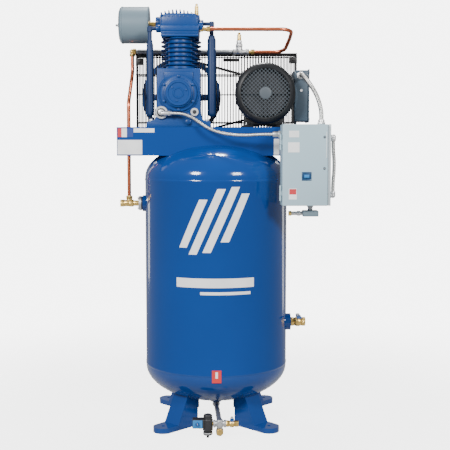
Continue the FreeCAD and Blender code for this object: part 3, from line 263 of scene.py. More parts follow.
def prism(outline, depth, at, axis="z", edge=1.0, segments=3):
    """A flat outline of (x, y) points, extruded along Z and then seated."""
    part = bmesh.new()
    face = part.faces.new([part.verts.new((u, v, 0)) for u, v in outline])
    made = bmesh.ops.extrude_face_region(part, geom=[face])
    moved = [item for item in made["geom"] if isinstance(item, bmesh.types.BMVert)]
    bmesh.ops.translate(part, vec=(0, 0, depth), verts=moved)
    bmesh.ops.recalc_face_normals(part, faces=part.faces)
    return seat(rounded(part, edge, segments) if edge else part, at, axis)


def piece(name, parts, body=STEEL_BODY, replaces=(), sharp=0.6):
    """Join parts, each with its finish, into one object that rides on a body."""
    mesh = bpy.data.meshes.new(name)
    whole = bmesh.new()
    finishes = []
    for part, finish in parts:
        if finish not in finishes:
            finishes.append(finish)
        index = finishes.index(finish)
        for face in part.faces:
            face.material_index = index
            face.smooth = True
        for edge in part.edges:
            if len(edge.link_faces) == 2 and edge.calc_face_angle() > sharp:
                edge.smooth = False
        step = bpy.data.meshes.new("step")
        part.to_mesh(step)
        whole.from_mesh(step)
        part.free()
        bpy.data.meshes.remove(step)
    bmesh.ops.scale(whole, vec=(MM, MM, MM), verts=whole.verts)
    whole.to_mesh(mesh)
    whole.free()
    for finish in finishes:
        mesh.materials.append(finish)
    thing = bpy.data.objects.new(name, mesh)
    bpy.context.scene.collection.objects.link(thing)
    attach(thing, body)
    if replaces:
        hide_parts(*replaces)
    return thing


BLUE = (0.0002, 0.043, 0.215)
blue_enamel = enamel("blue_enamel", BLUE)
shell_low, shell_high = span("tank_shell")
TANK_R = shell_high.x
TANK_FOOT = span("tank_bottom_head")[0].z
TANK_TOP = span("tank_top_head")[1].z
HEAD_DEPTH = TANK_R / 2
BEAD = 1.6


def head_arc(tangent, sign):
    """Points of an elliptical head from its rim to its middle."""
    count = 26
    turns = [math.pi / 2 * index / count for index in range(count + 1)]
    return [(TANK_R * math.cos(turn), tangent + sign * HEAD_DEPTH * math.sin(turn)) for turn in turns]


def weld(radius, level, height=6.0):
    """A low rounded bead in an outline."""
    return [(radius, level - height), (radius + BEAD * 0.8, level - height / 2), (radius + BEAD, level),
            (radius + BEAD * 0.8, level + height / 2), (radius, level + height)]


low_tangent = TANK_FOOT + HEAD_DEPTH
high_tangent = TANK_TOP - HEAD_DEPTH
bottom = list(reversed(head_arc(low_tangent, -1))) + [(TANK_R, shell_low.z)]
piece("bottom_head", [(turned(bottom, steps=144), blue_enamel)], replaces=["tank_bottom_head"])
barrel = weld(TANK_R, shell_low.z) + weld(TANK_R, shell_high.z)
piece("rolled_shell", [(turned(barrel, steps=144), blue_enamel)], replaces=["tank_shell"])
top = [(TANK_R, shell_high.z)] + head_arc(high_tangent, 1)
piece("top_head", [(turned(top, steps=144), blue_enamel)], replaces=["tank_top_head"])


# ---------------------------------------------------------------- printed marks
# Plain vinyl marks on the vessel's front: slanted bars over a wide bar and a thin one, and
# a small panel near the foot.  They follow the shell's curve, a hair proud of the paint.
def vinyl(name, colour):
    return moulded(name, colour, rough=0.3, grain=0.03, coat=0.3)


white_vinyl = vinyl("white_vinyl", (0.93, 0.94, 0.95))
red_vinyl = vinyl("red_vinyl", (0.62, 0.03, 0.03))
VINYL = 0.4


def wrapped(width, height, middle_u, middle_z, slant=0.0, lift=VINYL):
    """A patch of sheet bent round the vessel's front, which may lean to one side."""
    part = bmesh.new()
    bmesh.ops.create_grid(part, x_segments=max(4, int(width / 8)), y_segments=max(4, int(height / 8)),
                          size=0.5)
    for dot in part.verts:
        across = middle_u + dot.co.x * width + slant * dot.co.y * height
        turn = across / TANK_R
        radius = TANK_R + lift
        dot.co = (radius * math.sin(turn), -radius * math.cos(turn), middle_z + dot.co.y * height)
    bmesh.ops.recalc_face_normals(part, faces=part.faces)
    return part


mark_z = (shell_low.z + shell_high.z) / 2 + 225
bars = [(wrapped(34, 300 - 70 * abs(step - 1.5), -95 + 58 * step, mark_z + 8 * step, 0.45), white_vinyl)
        for step in range(4)]
bars.append((wrapped(330, 38, -4, mark_z - 240), white_vinyl))
bars.append((wrapped(210, 12, 40, mark_z - 282), white_vinyl))
piece("vessel_marks", bars)
square = [(wrapped(38, 52, 2, shell_low.z - 2, lift=2.2), red_vinyl),
          (wrapped(10, 26, 2, shell_low.z + 4, lift=2.5), white_vinyl)]
piece("drain_mark", square)

# ---------------------------------------------------------------- welded pads and feet
# Forged pads welded to the vessel, and four pressed feet of folded plate with a
# turned-down rim, all sprayed with the vessel.
def repaint(finish, *labels):
    """Give CAD shapes that stay as they are a worked finish."""
    for label in labels:
        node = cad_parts[label]
        node.data.materials.clear()
        node.data.materials.append(finish)


repaint(blue_enamel, "tank_couplings", "foot_front_left", "foot_front_right", "foot_rear_left",
        "foot_rear_right", "mounting_deck")

# ---------------------------------------------------------------- deck
# A channel bent from plate and coped to the top head; its labels are plain printed
# panels stuck on the front flange.
deck_low, deck_high = span("mounting_deck")
deck_front = deck_low.y
print_white = vinyl("print_white", (0.93, 0.94, 0.95))
print_red = vinyl("print_red", (0.55, 0.04, 0.05))
print_navy = vinyl("print_navy", (0.02, 0.05, 0.22))


def panel(left, right, low, high, finish, front=deck_front, proud=0.5):
    return (block((left, front - proud, low), (right, front, high), 0.15, 1), finish)


label_top = deck_high.z - 5
piece("deck_labels", [
    panel(deck_low.x + 4, deck_low.x + 20, label_top - 36, label_top, print_red),
    panel(deck_low.x + 20, deck_low.x + 42, label_top - 36, label_top, print_white),
    panel(deck_low.x + 42, deck_low.x + 68, label_top - 36, label_top, print_navy),
    panel(deck_low.x + 70, deck_low.x + 156, label_top - 17, label_top, print_white),
    panel(deck_low.x + 3, deck_low.x + 105, deck_low.z + 5, deck_low.z + 65, print_white),
    panel(240, 263, deck_low.z + 4, deck_low.z + 70, print_white),
])

zinc = metal("zinc_plate", (0.78, 0.79, 0.8), 0.3, (1, 1, 1), 0.15)
case_low, case_high = span("crankcase")
motor_low, motor_high = span("motor_frame")
pump_x = (case_low.x + case_high.x) / 2
motor_x = (motor_low.x + motor_high.x) / 2
deck_top = deck_high.z


def stack(at, axis, sections):
    """Lengths on one axis, each a (shape, size, start, length, finish) and perhaps its edge."""
    along = AXES[axis].to_3x3() @ Vector((0, 0, 1))
    parts = []
    for shape, size, start, length, finish, *edge in sections:
        sizes = size if isinstance(size, tuple) else (size,)
        parts.append((shape(*sizes, length, Vector(at) + along * start, axis, *edge), finish))
    return parts


def bolt(x, y, seat_z, size=18):
    """A hex bolt with its washer, and its nut under the deck."""
    under = deck_top - 6
    head = stack((x, y, seat_z), "z", [(bar, size * 0.62, 0, 2, zinc, 0.4), (hexagon, size, 2, 7, zinc)])
    return head + stack((x, y, under), "z", [(bar, 5.9, -12, seat_z - under + 12, zinc),
                                             (hexagon, size, -9, 8, zinc)])


CASE_DEPTH, CASE_FOOT, MOTOR_FOOT = 240, 25, 12
bolts = []
for x_side in (-1, 1):
    for y_side in (-1, 1):
        bolts += bolt(pump_x + x_side * 117, case_low.y + CASE_DEPTH / 2 + y_side * 102, deck_top + CASE_FOOT)
        bolts += bolt(motor_x + x_side * 76, y_side * 66, deck_top + MOTOR_FOOT)
piece("deck_bolts", bolts, replaces=["mounting_bolts"])

# ---------------------------------------------------------------- crankcase
# One iron casting: upright walls over a flared foot and a round bearing seat in front, painted with the rest
# of the pump.
CAST_BLUE = (0.0001, 0.042, 0.19)
cast_blue = casting("cast_blue", CAST_BLUE)
axis_z = middle("crankshaft").z
case_front = case_low.y
half = [(133, 0), (133, 22), (129, CASE_FOOT), (107, 28), (98, 36), (92, 52), (90, 75), (90, 244)]
outline = [(-x, -z) for x, z in half] + [(x, -z) for x, z in reversed(half)]
walls = prism(outline, CASE_DEPTH, (pump_x, case_front, deck_top), "y", 7, 4)
seat_ring = turned([(0, 0), (84, 0), (86, 2), (88, 8), (0, 8)], (pump_x, case_front - 3, axis_z), "y", 96)
plug = hexagon(22, 9, (pump_x + 40, case_front, deck_top + 22), "-y")
pad = block((pump_x - 60, case_front - 6, case_high.z - 52),
            (pump_x + 60, case_front + 2, case_high.z - 14), 3)
boss = bar(48, 18, (pump_x, case_front + CASE_DEPTH, axis_z), "y", 3)
piece("pump_crankcase", [(part, cast_blue) for part in (walls, seat_ring, boss, plug, pad)],
      replaces=["crankcase"])


def around(count, start, radius, shaft_x):
    """Even places on a circle about a shaft, as (x, z) pairs."""
    turns = [math.radians(start + 360 * index / count) for index in range(count)]
    return [(shaft_x + radius * math.cos(turn), axis_z + radius * math.sin(turn)) for turn in turns]


COVER_DEPTH = 32
cover_outline = [(0, 3), (16, 3), (18, 1), (22, 1), (24, 3), (41, 3), (43, 0), (52, 0), (54, 7), (59, 8),
                 (61, 11), (61, 19), (63, 20), (74, 20), (76, 22), (76, COVER_DEPTH), (0, COVER_DEPTH)]
cover = [(turned(cover_outline, (pump_x, case_front - COVER_DEPTH, axis_z), "y", 96), cast_blue)]
for x, z in around(6, 30, 69, pump_x):
    cover.append((hexagon(10.5, 6, (x, case_front - 12, z), "-y"), cast_blue))
for x, z in around(3, 20, 33, pump_x):
    cover.append((bar(3.5, 3, (x, case_front - COVER_DEPTH + 2, z), "-y"), cast_blue))
piece("front_cover", cover, replaces=["bearing_cover"])

glass_at = middle("sight_glass")
black_plastic = moulded("black_plastic", (0.02, 0.02, 0.023), 0.38)
sight = stack((glass_at.x, case_front, glass_at.z), "-y", [(ring, (17, 8), 0, 9, zinc, 1),
                                                           (bar, 8, 0, 6, black_plastic)])
piece("oil_sight_glass", sight, replaces=["sight_glass"])

switch_low, switch_high = span("oil_level_switch")
switch_x = switch_low.x + 27
switch_z = middle("oil_level_switch").z
switch = stack((switch_x, case_front, switch_z), "-y", [
    (ring, (27, 17), 0, 10, zinc, 2), (bar, 17, 0, 6, black_plastic, 1), (bar, 12, 0, 24, zinc, 2)])
switch += stack((switch_x, case_front - 24, switch_z - 4), "x", [
    (bar, 9, 0, switch_high.x - switch_x, zinc, 1.5), (hexagon, 20, switch_high.x - switch_x - 16, 9, zinc)])
piece("low_oil_switch", switch, replaces=["oil_level_switch"])

# ---------------------------------------------------------------- cylinders and head
# Cast barrels with thin cooling fins, small in front and large behind, under a machined
# plate and a deep head whose upright fins run front to back.
cyl_x = pump_x + 5
split_y = span("high_pressure_cylinder")[1].y


def finned(name, node, radius, fins, y, front, back):
    """A barrel with seven fins, cut flat where it meets its neighbour."""
    low, high = span(node)
    outline = [(radius - 9, low.z), (radius + 9, low.z), (radius + 9, low.z + 8), (radius, low.z + 11)]
    pitch = (high.z - low.z - 34) / 6
    for index in range(7):
        level = low.z + 16 + pitch * index
        outline += [(radius, level - 4.2), (fins - 2, level - 2.6), (fins, level), (fins - 2, level + 2.6),
                    (radius, level + 4.2)]
    outline += [(radius, high.z - 4), (radius - 9, high.z - 4)]
    part = turned(outline, (cyl_x, y, 0), "z", 72, closed=True)
    for limit, sign in ((front, -1), (back, 1)):
        bmesh.ops.bisect_plane(part, geom=part.verts[:] + part.edges[:] + part.faces[:],
                               plane_co=(0, limit, 0), plane_no=(0, sign, 0), clear_outer=True)
        rim = [edge for edge in part.edges if edge.is_boundary]
        bmesh.ops.holes_fill(part, edges=rim, sides=0)
    flange = block((cyl_x - 78, max(front, low.y), high.z - 13), (cyl_x + 78, min(back, high.y), high.z), 3)
    piece(name, [(part, cast_blue), (flange, cast_blue)], replaces=[node])


finned("small_cylinder", "high_pressure_cylinder", 50, 63, -70, -400, split_y)
finned("large_cylinder", "low_pressure_cylinder", 73, 88, 45, split_y, 400)

plate_low, plate_high = span("valve_plate")
piece("reed_valve_plate", [(block(plate_low, plate_high, 1), cast_blue)],
      replaces=["valve_plate"])

head_low, head_high = span("cylinder_head")
head_floor = plate_high.z
FIN_TALL = 18
head_top = head_high.z - FIN_TALL
FLAT, SHOULDER = 59, 77
body_outline = [(-SHOULDER, -head_floor - 20), (-SHOULDER, FIN_TALL - head_top), (-FLAT, -head_top),
                (FLAT, -head_top), (SHOULDER, FIN_TALL - head_top), (SHOULDER, -head_floor - 20)]
head = [block((head_low.x, head_low.y, head_floor), (head_high.x, head_high.y, head_floor + 26), 4),
        prism(body_outline, head_high.y - head_low.y - 10, (cyl_x, head_low.y + 5, 0), "y", 5, 3)]
for index in range(9):
    left = head_low.x + 1.5 + 15.6 * index
    tall = FIN_TALL - 0.7 * (index - 4) ** 2
    fin = prism([(head_low.y + 2, -14), (head_high.y - 2, -14), (head_high.y - 12, tall),
                 (head_low.y + 12, tall)], 5, (0, 0, 0), "z", 1.2, 2)
    upright = Matrix(((0, 0, 1, left), (1, 0, 0, 0), (0, 1, 0, head_top - 2), (0, 0, 0, 1)))
    bmesh.ops.transform(fin, matrix=upright, verts=fin.verts)
    head.append(fin)
for index in range(7):
    y = head_low.y + 26 + 36 * index
    head.append(block((head_low.x - 3, y - 3, head_floor + 24), (head_high.x + 3, y + 3, head_top - 6), 2))
for side in (-68.7, 66):
    for along in (18, 70, 156, 248):
        head.append(bar(5.4, 8, (cyl_x + side, head_low.y + along, head_top - 12), edge=1))
LEFT_PORT, RIGHT_PORT = Vector((head_low.x, -95, head_top - 60)), Vector((head_high.x, -60, head_top - 36))
for x, y, z, axis, radius, length in ((head_low.x + 4, 30, head_top - 20, "-x", 26, 32),
                                      (head_high.x - 4, RIGHT_PORT.y, RIGHT_PORT.z, "x", 17, 22),
                                      (head_low.x + 4, LEFT_PORT.y, LEFT_PORT.z, "-x", 16, 24),
                                      (head_high.x - 4, -105, head_top - 51, "x", 19, 20)):
    head.append(bar(radius, length, (x, y, z), axis, 3))
piece("finned_head", [(part, cast_blue) for part in head], replaces=["cylinder_head"])

# ---------------------------------------------------------------- intercooler
# Two upright steel cooling tubes with necked tops and domed feet, in a darker copy of the blue paint: painted
# shade for where they stand behind the pump.
shaded_blue = enamel("shaded_blue_enamel", (0.0002, 0.018, 0.078), 0.5, 0.1, 0.0)


def dome(radius, level, sign, count=8):
    """An outline's quarter circle, from a radius at a level up or down to the axis."""
    turns = [math.pi / 2 * index / count for index in range(count + 1)]
    return [(radius * math.cos(turn), level + sign * radius * math.sin(turn)) for turn in turns]


def ball(radius, at, steps=32):
    return turned(dome(radius, 0, 1) + list(reversed(dome(radius, 0, -1))), at, "z", steps)


def cooling_tube(port, side, reach, radius):
    """An upright tube, so far to one side of its port in the head, with the elbow between them."""
    axis = "x" if side > 0 else "-x"
    level = port.z
    outline = list(reversed(dome(radius, deck_top + 44 + radius, -1)))
    outline += [(radius, level - 66), (radius * 0.8, level - 58), (radius * 0.8, level - 52), (9, level - 46),
                (9, level - 14), (11, level - 12), (11, level + 6), (8, level + 10), (0, level + 11)]
    return [turned(outline, (port.x + side * reach, port.y, 0), "z", 40), bar(8, reach, port, axis),
            hexagon(20, 12, port + Vector((side * 6, 0, 0)), axis)]


coolers = cooling_tube(LEFT_PORT, -1, 45, 14) + cooling_tube(RIGHT_PORT, 1, 52, 18)
# The tubes take the darker copy of the blue paint, a painted shade.
piece("cooling_tubes", [(part, shaded_blue) for part in coolers], replaces=["intercooler_tubes"])

brass = metal("brass", (0.97, 0.64, 0.2), 0.22, (1, 1, 12), 0.2)
relief_low = span("relief_valve_body")[0]
relief = middle("relief_valve_body")
piece("interstage_valve", stack((relief.x, relief.y, relief_low.z), "z", [
    (bar, 8, 0, 11, brass), (hexagon, 18, 10, 14, brass), (ring, (8, 3.1), 24, 22, brass)]),
    replaces=["relief_valve_body"])
stem_low, stem_high = span("relief_valve_stem")
piece("interstage_stem", [
    (bar(3, stem_high.z - stem_low.z - 3, (relief.x, relief.y, stem_low.z)), brass),
    (turned([(3, 0), (6, 1), (6, 4), (3.5, 8), (0, 8)], (relief.x, relief.y, stem_high.z - 8), "z", 24),
     brass)],
    "relief_stem", replaces=["relief_valve_stem"])

# ---------------------------------------------------------------- air filter
# A drawn steel canister on its side with a crimped lid, held by a wing nut, on a brass
# neck screwed into the head.
canister_grey = enamel("canister_grey", (0.15, 0.21, 0.25), 0.36, 0.12, 0.15)
can_low, can_high = span("filter_canister")
can_y, can_z = middle("filter_element").yz
can_r = (can_high.z - can_low.z) / 2
CAN_LONG = 132
can_left = can_low.x + 14
can_right = can_left + CAN_LONG
can_outline = [(0, 0), (30, 0.5), (62, 3), (70, 6), (75, 10), (can_r - 1.5, 13), (can_r, 15), (can_r, 19),
               (can_r - 1.4, 20.5), (can_r - 1.4, 125), (can_r, 126.5), (can_r, 129), (can_r - 3, CAN_LONG),
               (12, CAN_LONG)]
filter_parts = [(turned(can_outline, (can_left, can_y, can_z), "x", 96), canister_grey),
                (block((can_left - 12, can_y - 15, can_z - 4), (can_left - 8, can_y + 15, can_z + 4), 1.5),
                 zinc)]
filter_parts += stack((can_left, can_y, can_z), "x", [(bar, 4, -14, 20, zinc), (hexagon, 14, -5, 5, zinc)])
filter_parts += stack((can_right, can_y, can_z), "x", [(bar, 15, -4, head_low.x - can_right + 4, brass),
                                                       (hexagon, 27, 8, 12, brass)])
piece("inlet_filter", filter_parts, replaces=["filter_canister"])

# ---------------------------------------------------------------- flywheel, pulley and belts
# A cast flywheel with six tapered spokes and a small iron pulley, each with two grooves,
# and two rubber V-belts whose top faces lie just under the rims.
iron = metal("machined_iron", (0.3, 0.3, 0.31), 0.35)
rubber = moulded("belt_rubber", (0.012, 0.012, 0.013), 0.6, 0.25)
wheel_y = span("motor_pulley")[0].y
FLY_R, PULLEY_R, RIM = 177, 83, 44


def grooved(radius, inner):
    """Half an outline: a rim with two V grooves."""
    points = [(inner, 0), (radius, 0)]
    for centre in (11, 33):
        points += [(radius, centre - 6.8), (radius - 11.5, centre - 6.4), (radius - 11.5, centre + 6.4),
                   (radius, centre + 6.8)]
    return points + [(radius, RIM), (inner, RIM)]


def rolled(part, turn):
    """A part turned about the Z axis before it is seated."""
    bmesh.ops.rotate(part, cent=(0, 0, 0), matrix=Matrix.Rotation(turn, 3, "Z"), verts=part.verts)
    return part


rim_part = turned(grooved(FLY_R, FLY_R - 20), (pump_x, wheel_y, axis_z), "y", 128, closed=True)
hub_part = ring(42, 17.6, RIM, (pump_x, wheel_y, axis_z), "y", 1.5)
wheel = [(rim_part, cast_blue), (hub_part, cast_blue)]
for index in range(6):
    spoke = prism([(38, -17), (160, -12), (160, 12), (38, 17)], 14, (0, 0, 15), "z", 3, 2)
    wheel.append((seat(rolled(spoke, math.tau * index / 6), (pump_x, wheel_y, axis_z), "y"), cast_blue))
wheel += stack((pump_x, wheel_y + RIM, axis_z), "y", [(bar, 25, 0, 6, zinc, 1), (hexagon, 18, 6, 8, zinc)])
piece("pump_flywheel", wheel, "crank", replaces=["flywheel"])

pulley = [(turned(grooved(PULLEY_R, PULLEY_R - 18), (motor_x, wheel_y, axis_z), "y", 96, closed=True), iron)]
pulley += stack((motor_x, wheel_y, axis_z), "y", [(ring, (28, 14.1), 0, RIM, iron, 1.5),
                                                  (ring, (67, 27), 16, 12, iron, 1)])
piece("drive_pulley", pulley, "motor_turning_set", replaces=["motor_pulley"])


def swept(track, radii, sides=20, closed=False):
    """A skin round a track, with one radius or one for each place; a closed track has no ends."""
    part = bmesh.new()
    rings = []
    up = Vector((0, 1, 0)) if closed else (track[1] - track[0]).orthogonal().normalized()
    last = len(track) - 1
    for index, spot in enumerate(track):
        after = track[(index + 1) % len(track)] if closed else track[min(index + 1, last)]
        before = track[index - 1] if closed else track[max(index - 1, 0)]
        ahead = (after - before).normalized()
        up = (up - ahead * up.dot(ahead)).normalized()
        side = ahead.cross(up)
        radius = radii[index] if isinstance(radii, list) else radii
        made = bmesh.ops.create_circle(part, segments=sides, radius=radius)["verts"]
        spin = math.pi / sides if closed else 0
        for dot in made:
            reach, turn = dot.co.length, math.atan2(dot.co.y, dot.co.x) + spin
            dot.co = spot + up * reach * math.cos(turn) + side * reach * math.sin(turn)
        rings.append(made)
    following = rings[1:] + rings[:1] if closed else rings[1:]
    for first, second in zip(rings, following):
        edges = {edge for dots in (first, second) for dot in dots for edge in dot.link_edges
                 if all(end in dots for end in edge.verts)}
        bmesh.ops.bridge_loops(part, edges=list(edges))
    if not closed:
        for dots in (rings[0], rings[-1]):
            part.faces.new(dots)
    bmesh.ops.recalc_face_normals(part, faces=part.faces)
    return part


def belt(y):
    """A belt of V section, drawn round both wheels."""
    reach = motor_x - pump_x
    lean = math.asin((FLY_R - PULLEY_R) / reach)
    track = []
    for shift, radius, start, sweep, count in (
            (0, FLY_R, math.pi / 2 - lean, math.pi + 2 * lean, 40),
            (reach, PULLEY_R, -math.pi / 2 + lean, math.pi - 2 * lean, 24)):
        for index in range(count + 1):
            turn = start + sweep * index / count
            track.append(Vector((pump_x + shift + (radius - 6.5) * math.cos(turn), y,
                                 axis_z + (radius - 6.5) * math.sin(turn))))
    return swept(track, 6.4, 4, True)


piece("v_belts", [(belt(wheel_y + 11), rubber), (belt(wheel_y + 33), rubber)],
      replaces=["drive_belts"])

# ---------------------------------------------------------------- motor
# A totally enclosed motor in satin black: a ribbed frame on a foot, flanged bells, a
# pressed fan cover with a lattice grille, and a sheet wiring box on its right side.
motor_black = enamel("motor_black", (0.008, 0.009, 0.011), 0.34, 0.12, 0.15)
grille_grey = enamel("grille_grey", (0.075, 0.09, 0.105), 0.4, 0.1, 0.0)
slate = enamel("slate_enamel", (0.042, 0.068, 0.095), 0.36, 0.12, 0.25)
MOTOR_R = 106
motor_long = motor_high.y - motor_low.y
frame_parts = [ring(MOTOR_R, 72, motor_long, (motor_x, motor_low.y, axis_z), "y", 2)]
for index in range(44):
    turn = math.tau * index / 44
    if abs(math.sin(turn) + 0.85) < 0.12:
        continue
    rib = block((MOTOR_R - 3, -1.6, 6), (MOTOR_R + 6, 1.6, motor_long - 6), 1, 1)
    frame_parts.append(seat(rolled(rib, turn), (motor_x, motor_low.y, axis_z), "y"))
for side in (-1, 1):
    inner, outer = sorted((motor_x + side * 46, motor_x + side * 90))
    frame_parts.append(block((inner, motor_low.y, deck_top), (outer, motor_high.y, deck_top + MOTOR_FOOT), 2))
    leg = prism([(side * 18, -6), (side * 88, -6), (side * 80, -62), (side * 14, -62)], motor_long - 30,
                (motor_x, motor_low.y + 15, deck_top), "y", 3, 2)
    frame_parts.append(leg)
frame_parts += [block((motor_x - 8, -20, axis_z + MOTOR_R - 4), (motor_x + 8, 4, axis_z + MOTOR_R + 12), 5),
                block((motor_x - 58, motor_low.y + 12, deck_top + 10),
                      (motor_x + 58, motor_high.y - 12, deck_top + 44), 4)]
piece("motor_stator_frame", [(part, motor_black) for part in frame_parts],
      replaces=["motor_frame"])

bell = [(15, 0), (36, 0), (40, 4), (96, 8), (110, 12), (112, 16), (112, 26), (15, 26)]
bells = [(turned(bell, (motor_x, motor_low.y - 22, axis_z), "y", 96, closed=True), motor_black),
         (turned(bell, (motor_x, motor_high.y + 22, axis_z), "-y", 96, closed=True), motor_black)]
for x, z in around(4, 45, 100, motor_x):
    bells.append((hexagon(11, 7, (x, motor_high.y + 12, z), "y"), zinc))
piece("motor_bells", bells, replaces=["motor_end_bells"])

cowl_low, cowl_high = span("motor_fan_cover")
COWL_R, GRILLE_R = 126, 103
cowl_front = cowl_low.y
cowl_outline = [(GRILLE_R - 3, 3), (GRILLE_R - 1, 0.6), (GRILLE_R + 3, 0), (112, 3), (120, 8), (125, 15),
                (COWL_R, 24), (COWL_R, 59), (COWL_R - 2, 60), (COWL_R - 2.5, 24), (118, 11), (108, 5),
                (GRILLE_R - 2, 4)]
cowl = [(turned(cowl_outline, (motor_x, cowl_front, axis_z), "y", 128, closed=True), motor_black)]
pitch, wide = 11.5, 2.3
count = int(GRILLE_R / pitch)
for index in range(-count, count + 1):
    offset = index * pitch
    reach = math.sqrt(max(0, (GRILLE_R - 1) ** 2 - offset ** 2))
    for layer, turn in ((1.6, 45), (2.8, -45)):
        strip = rolled(block((-reach, offset - wide / 2, 0), (reach, offset + wide / 2, 1.4), 0.4, 1),
                       math.radians(turn))
        cowl.append((seat(strip, (motor_x, cowl_front + layer, axis_z), "y"), grille_grey))
hub_shape = [(0, 0), (18, 0.4), (24, 1.6), (26, 4), (0, 4)]
cowl.append((turned(hub_shape, (motor_x, cowl_front + 0.2, axis_z), "y", 48), grille_grey))
for x, z in around(4, 45, COWL_R, motor_x):
    cowl.append((block((x - 5, cowl_high.y - 14, z - 5), (x + 5, cowl_high.y - 4, z + 5), 2), zinc))
piece("motor_cowl", cowl, replaces=["motor_fan_cover"])

wiring_left = motor_x + COWL_R - 1
wiring_floor = deck_top + 26
wiring = [(block((wiring_left, -70, wiring_floor), (wiring_left + 60, 60, wiring_floor + 215), 5, 4), slate),
          (block((wiring_left + 59, -75, wiring_floor - 4), (wiring_left + 64, 64, wiring_floor + 219), 1.5),
           slate),
          (block((wiring_left - 40, -35, axis_z - 30), (wiring_left + 4, 25, axis_z + 30), 4), motor_black)]
for y in (-60, 50):
    for z in (wiring_floor + 10, wiring_floor + 205):
        wiring.append((bar(5, 3, (wiring_left + 63.5, y, z), "x"), zinc))
hub_x, hub_z = wiring_left + 26, wiring_floor + 192
wiring += stack((hub_x, -70, hub_z), "-y", [(hexagon, 30, 0, 8, zinc), (bar, 12, 6, 27, zinc, 2),
                                            (hexagon, 27, 20, 10, zinc)])
screw = turned([(0, 2), (5, 2), (6, 1), (6, 0), (0, 0)], (wiring_left + 30, -70, hub_z - 62), "-y", 24)
wiring.append((screw, zinc))
piece("motor_wiring_box", wiring, replaces=["motor_conduit_box"])

# ---------------------------------------------------------------- belt guard
# Welded panels of straight black wire in front of and behind the wheels, joined round
# the edge by short cross wires and held by spring clips at the corners.
wire_black = enamel("wire_black", (0.008, 0.008, 0.009), 0.4, 0.2, 0.2)
guard_low, guard_high = span("guard_frame")
guard_low.y = span("guard_front")[0].y
guard_high.y = span("guard_rear")[1].y
WIRE_R, ROD_R, PITCH = 2.2, 2.8, 12.7
levels = [guard_low.z + 2.5, guard_low.z + 77, guard_low.z + 205, guard_low.z + 289, guard_low.z + 373,
          guard_high.z - 2.5]
columns = int((guard_high.x - guard_low.x - 4) / PITCH)


def wire(radius, length, at, axis):
    part = bmesh.new()
    bmesh.ops.create_cone(part, cap_ends=True, segments=8, radius1=radius, radius2=radius, depth=length)
    bmesh.ops.translate(part, vec=(0, 0, length / 2), verts=part.verts)
    return seat(part, at, axis)


def wire_panel(y, shafts):
    """Upright wires on a few level rods; wires that would cross a shaft stop at its ring."""
    parts = [wire(ROD_R, guard_high.x - guard_low.x, (guard_low.x, y, z), "x") for z in levels
             if not any(abs(z - axis_z) < radius for _, radius in shafts)]
    for column in range(columns + 1):
        x = guard_low.x + 3 + column * PITCH
        cuts = [(axis_z, math.sqrt(radius ** 2 - (x - centre) ** 2)) for centre, radius in shafts
                if abs(x - centre) < radius]
        if cuts:
            level, gap = cuts[0]
            parts.append(wire(WIRE_R, level - gap - guard_low.z, (x, y, guard_low.z), "z"))
            parts.append(wire(WIRE_R, guard_high.z - level - gap, (x, y, level + gap), "z"))
        else:
            parts.append(wire(WIRE_R, guard_high.z - guard_low.z, (x, y, guard_low.z), "z"))
    for centre, radius in shafts:
        parts.append(ring(radius + 2, radius - 2, 4, (centre, y - 2, axis_z), "y", 1))
    return [(part, wire_black) for part in parts]


piece("guard_front_panel", wire_panel(guard_low.y + 2, [(pump_x, 56), (motor_x, 42)]),
      replaces=["guard_front"])
piece("guard_rear_panel", wire_panel(guard_high.y - 2, []), replaces=["guard_rear"])
rim = []
depth = guard_high.y - guard_low.y - 4
for column in range(columns + 1):
    x = guard_low.x + 3 + column * PITCH
    for z in (guard_low.z + 2, guard_high.z - 2):
        rim.append((wire(WIRE_R, depth, (x, guard_low.y + 2, z), "y"), wire_black))
for row in range(1, int((guard_high.z - guard_low.z) / PITCH)):
    for x in (guard_low.x + 2, guard_high.x - 2):
        rim.append((wire(WIRE_R, depth, (x, guard_low.y + 2, guard_low.z + row * PITCH), "y"), wire_black))
for y in (guard_low.y + 22, guard_low.y + 42, guard_low.y + 62):
    for z in (guard_low.z + 2, guard_high.z - 2):
        rim.append((wire(ROD_R, guard_high.x - guard_low.x, (guard_low.x, y, z), "x"), wire_black))
    for x in (guard_low.x + 2, guard_high.x - 2):
        rim.append((wire(ROD_R, guard_high.z - guard_low.z, (x, y, guard_low.z), "z"), wire_black))
for x, drop, width, tall in ((guard_low.x, 20, 46, 20), (guard_low.x, 54, 36, 30),
                             (guard_high.x - 34, 46, 34, 30), (32, 38, 70, 14)):
    z = guard_high.z - drop
    rim.append((block((x, guard_low.y - 3, z), (x + width, guard_low.y + 5, z + tall), 2), wire_black))
    rim.append((bar(5, 4, (x + width / 2, guard_low.y - 3, z + tall / 2), "-y", 1), wire_black))
for x in (guard_low.x + 20, guard_high.x - 60):
    arm = block((x, deck_high.y, deck_top - 40), (x + 40, guard_low.y, deck_top - 36), 1)
    tab = block((x, guard_low.y - 4, deck_top - 40), (x + 40, guard_low.y, deck_top - 14), 1)
    rim += [(arm, wire_black), (tab, wire_black)]
piece("guard_rim", rim, replaces=["guard_frame"])

copper = metal("copper", (0.85, 0.24, 0.12), 0.18, (1, 1, 1), 0.2, 0.02)
alloy = metal("cast_alloy", (0.42, 0.44, 0.46), 0.35, (1, 1, 1), 0.25)
TUBE_R, BEND_R = 8, 48


def bent(points, corner):
    """Places along straight runs with round corners of one radius."""
    points = [Vector(point) for point in points]
    track = [points[0]]
    for before, here, after in zip(points, points[1:], points[2:]):
        into, out = (here - before).normalized(), (after - here).normalized()
        turn = into.angle(out)
        setback = corner * math.tan(turn / 2)
        centre = here + (out - into).normalized() * (corner / math.cos(turn / 2))
        arm = here - into * setback - centre
        hinge = into.cross(out).normalized()
        for index in range(13):
            track.append(centre + Matrix.Rotation(turn * index / 12, 3, hinge) @ arm)
    return track + [points[-1]]


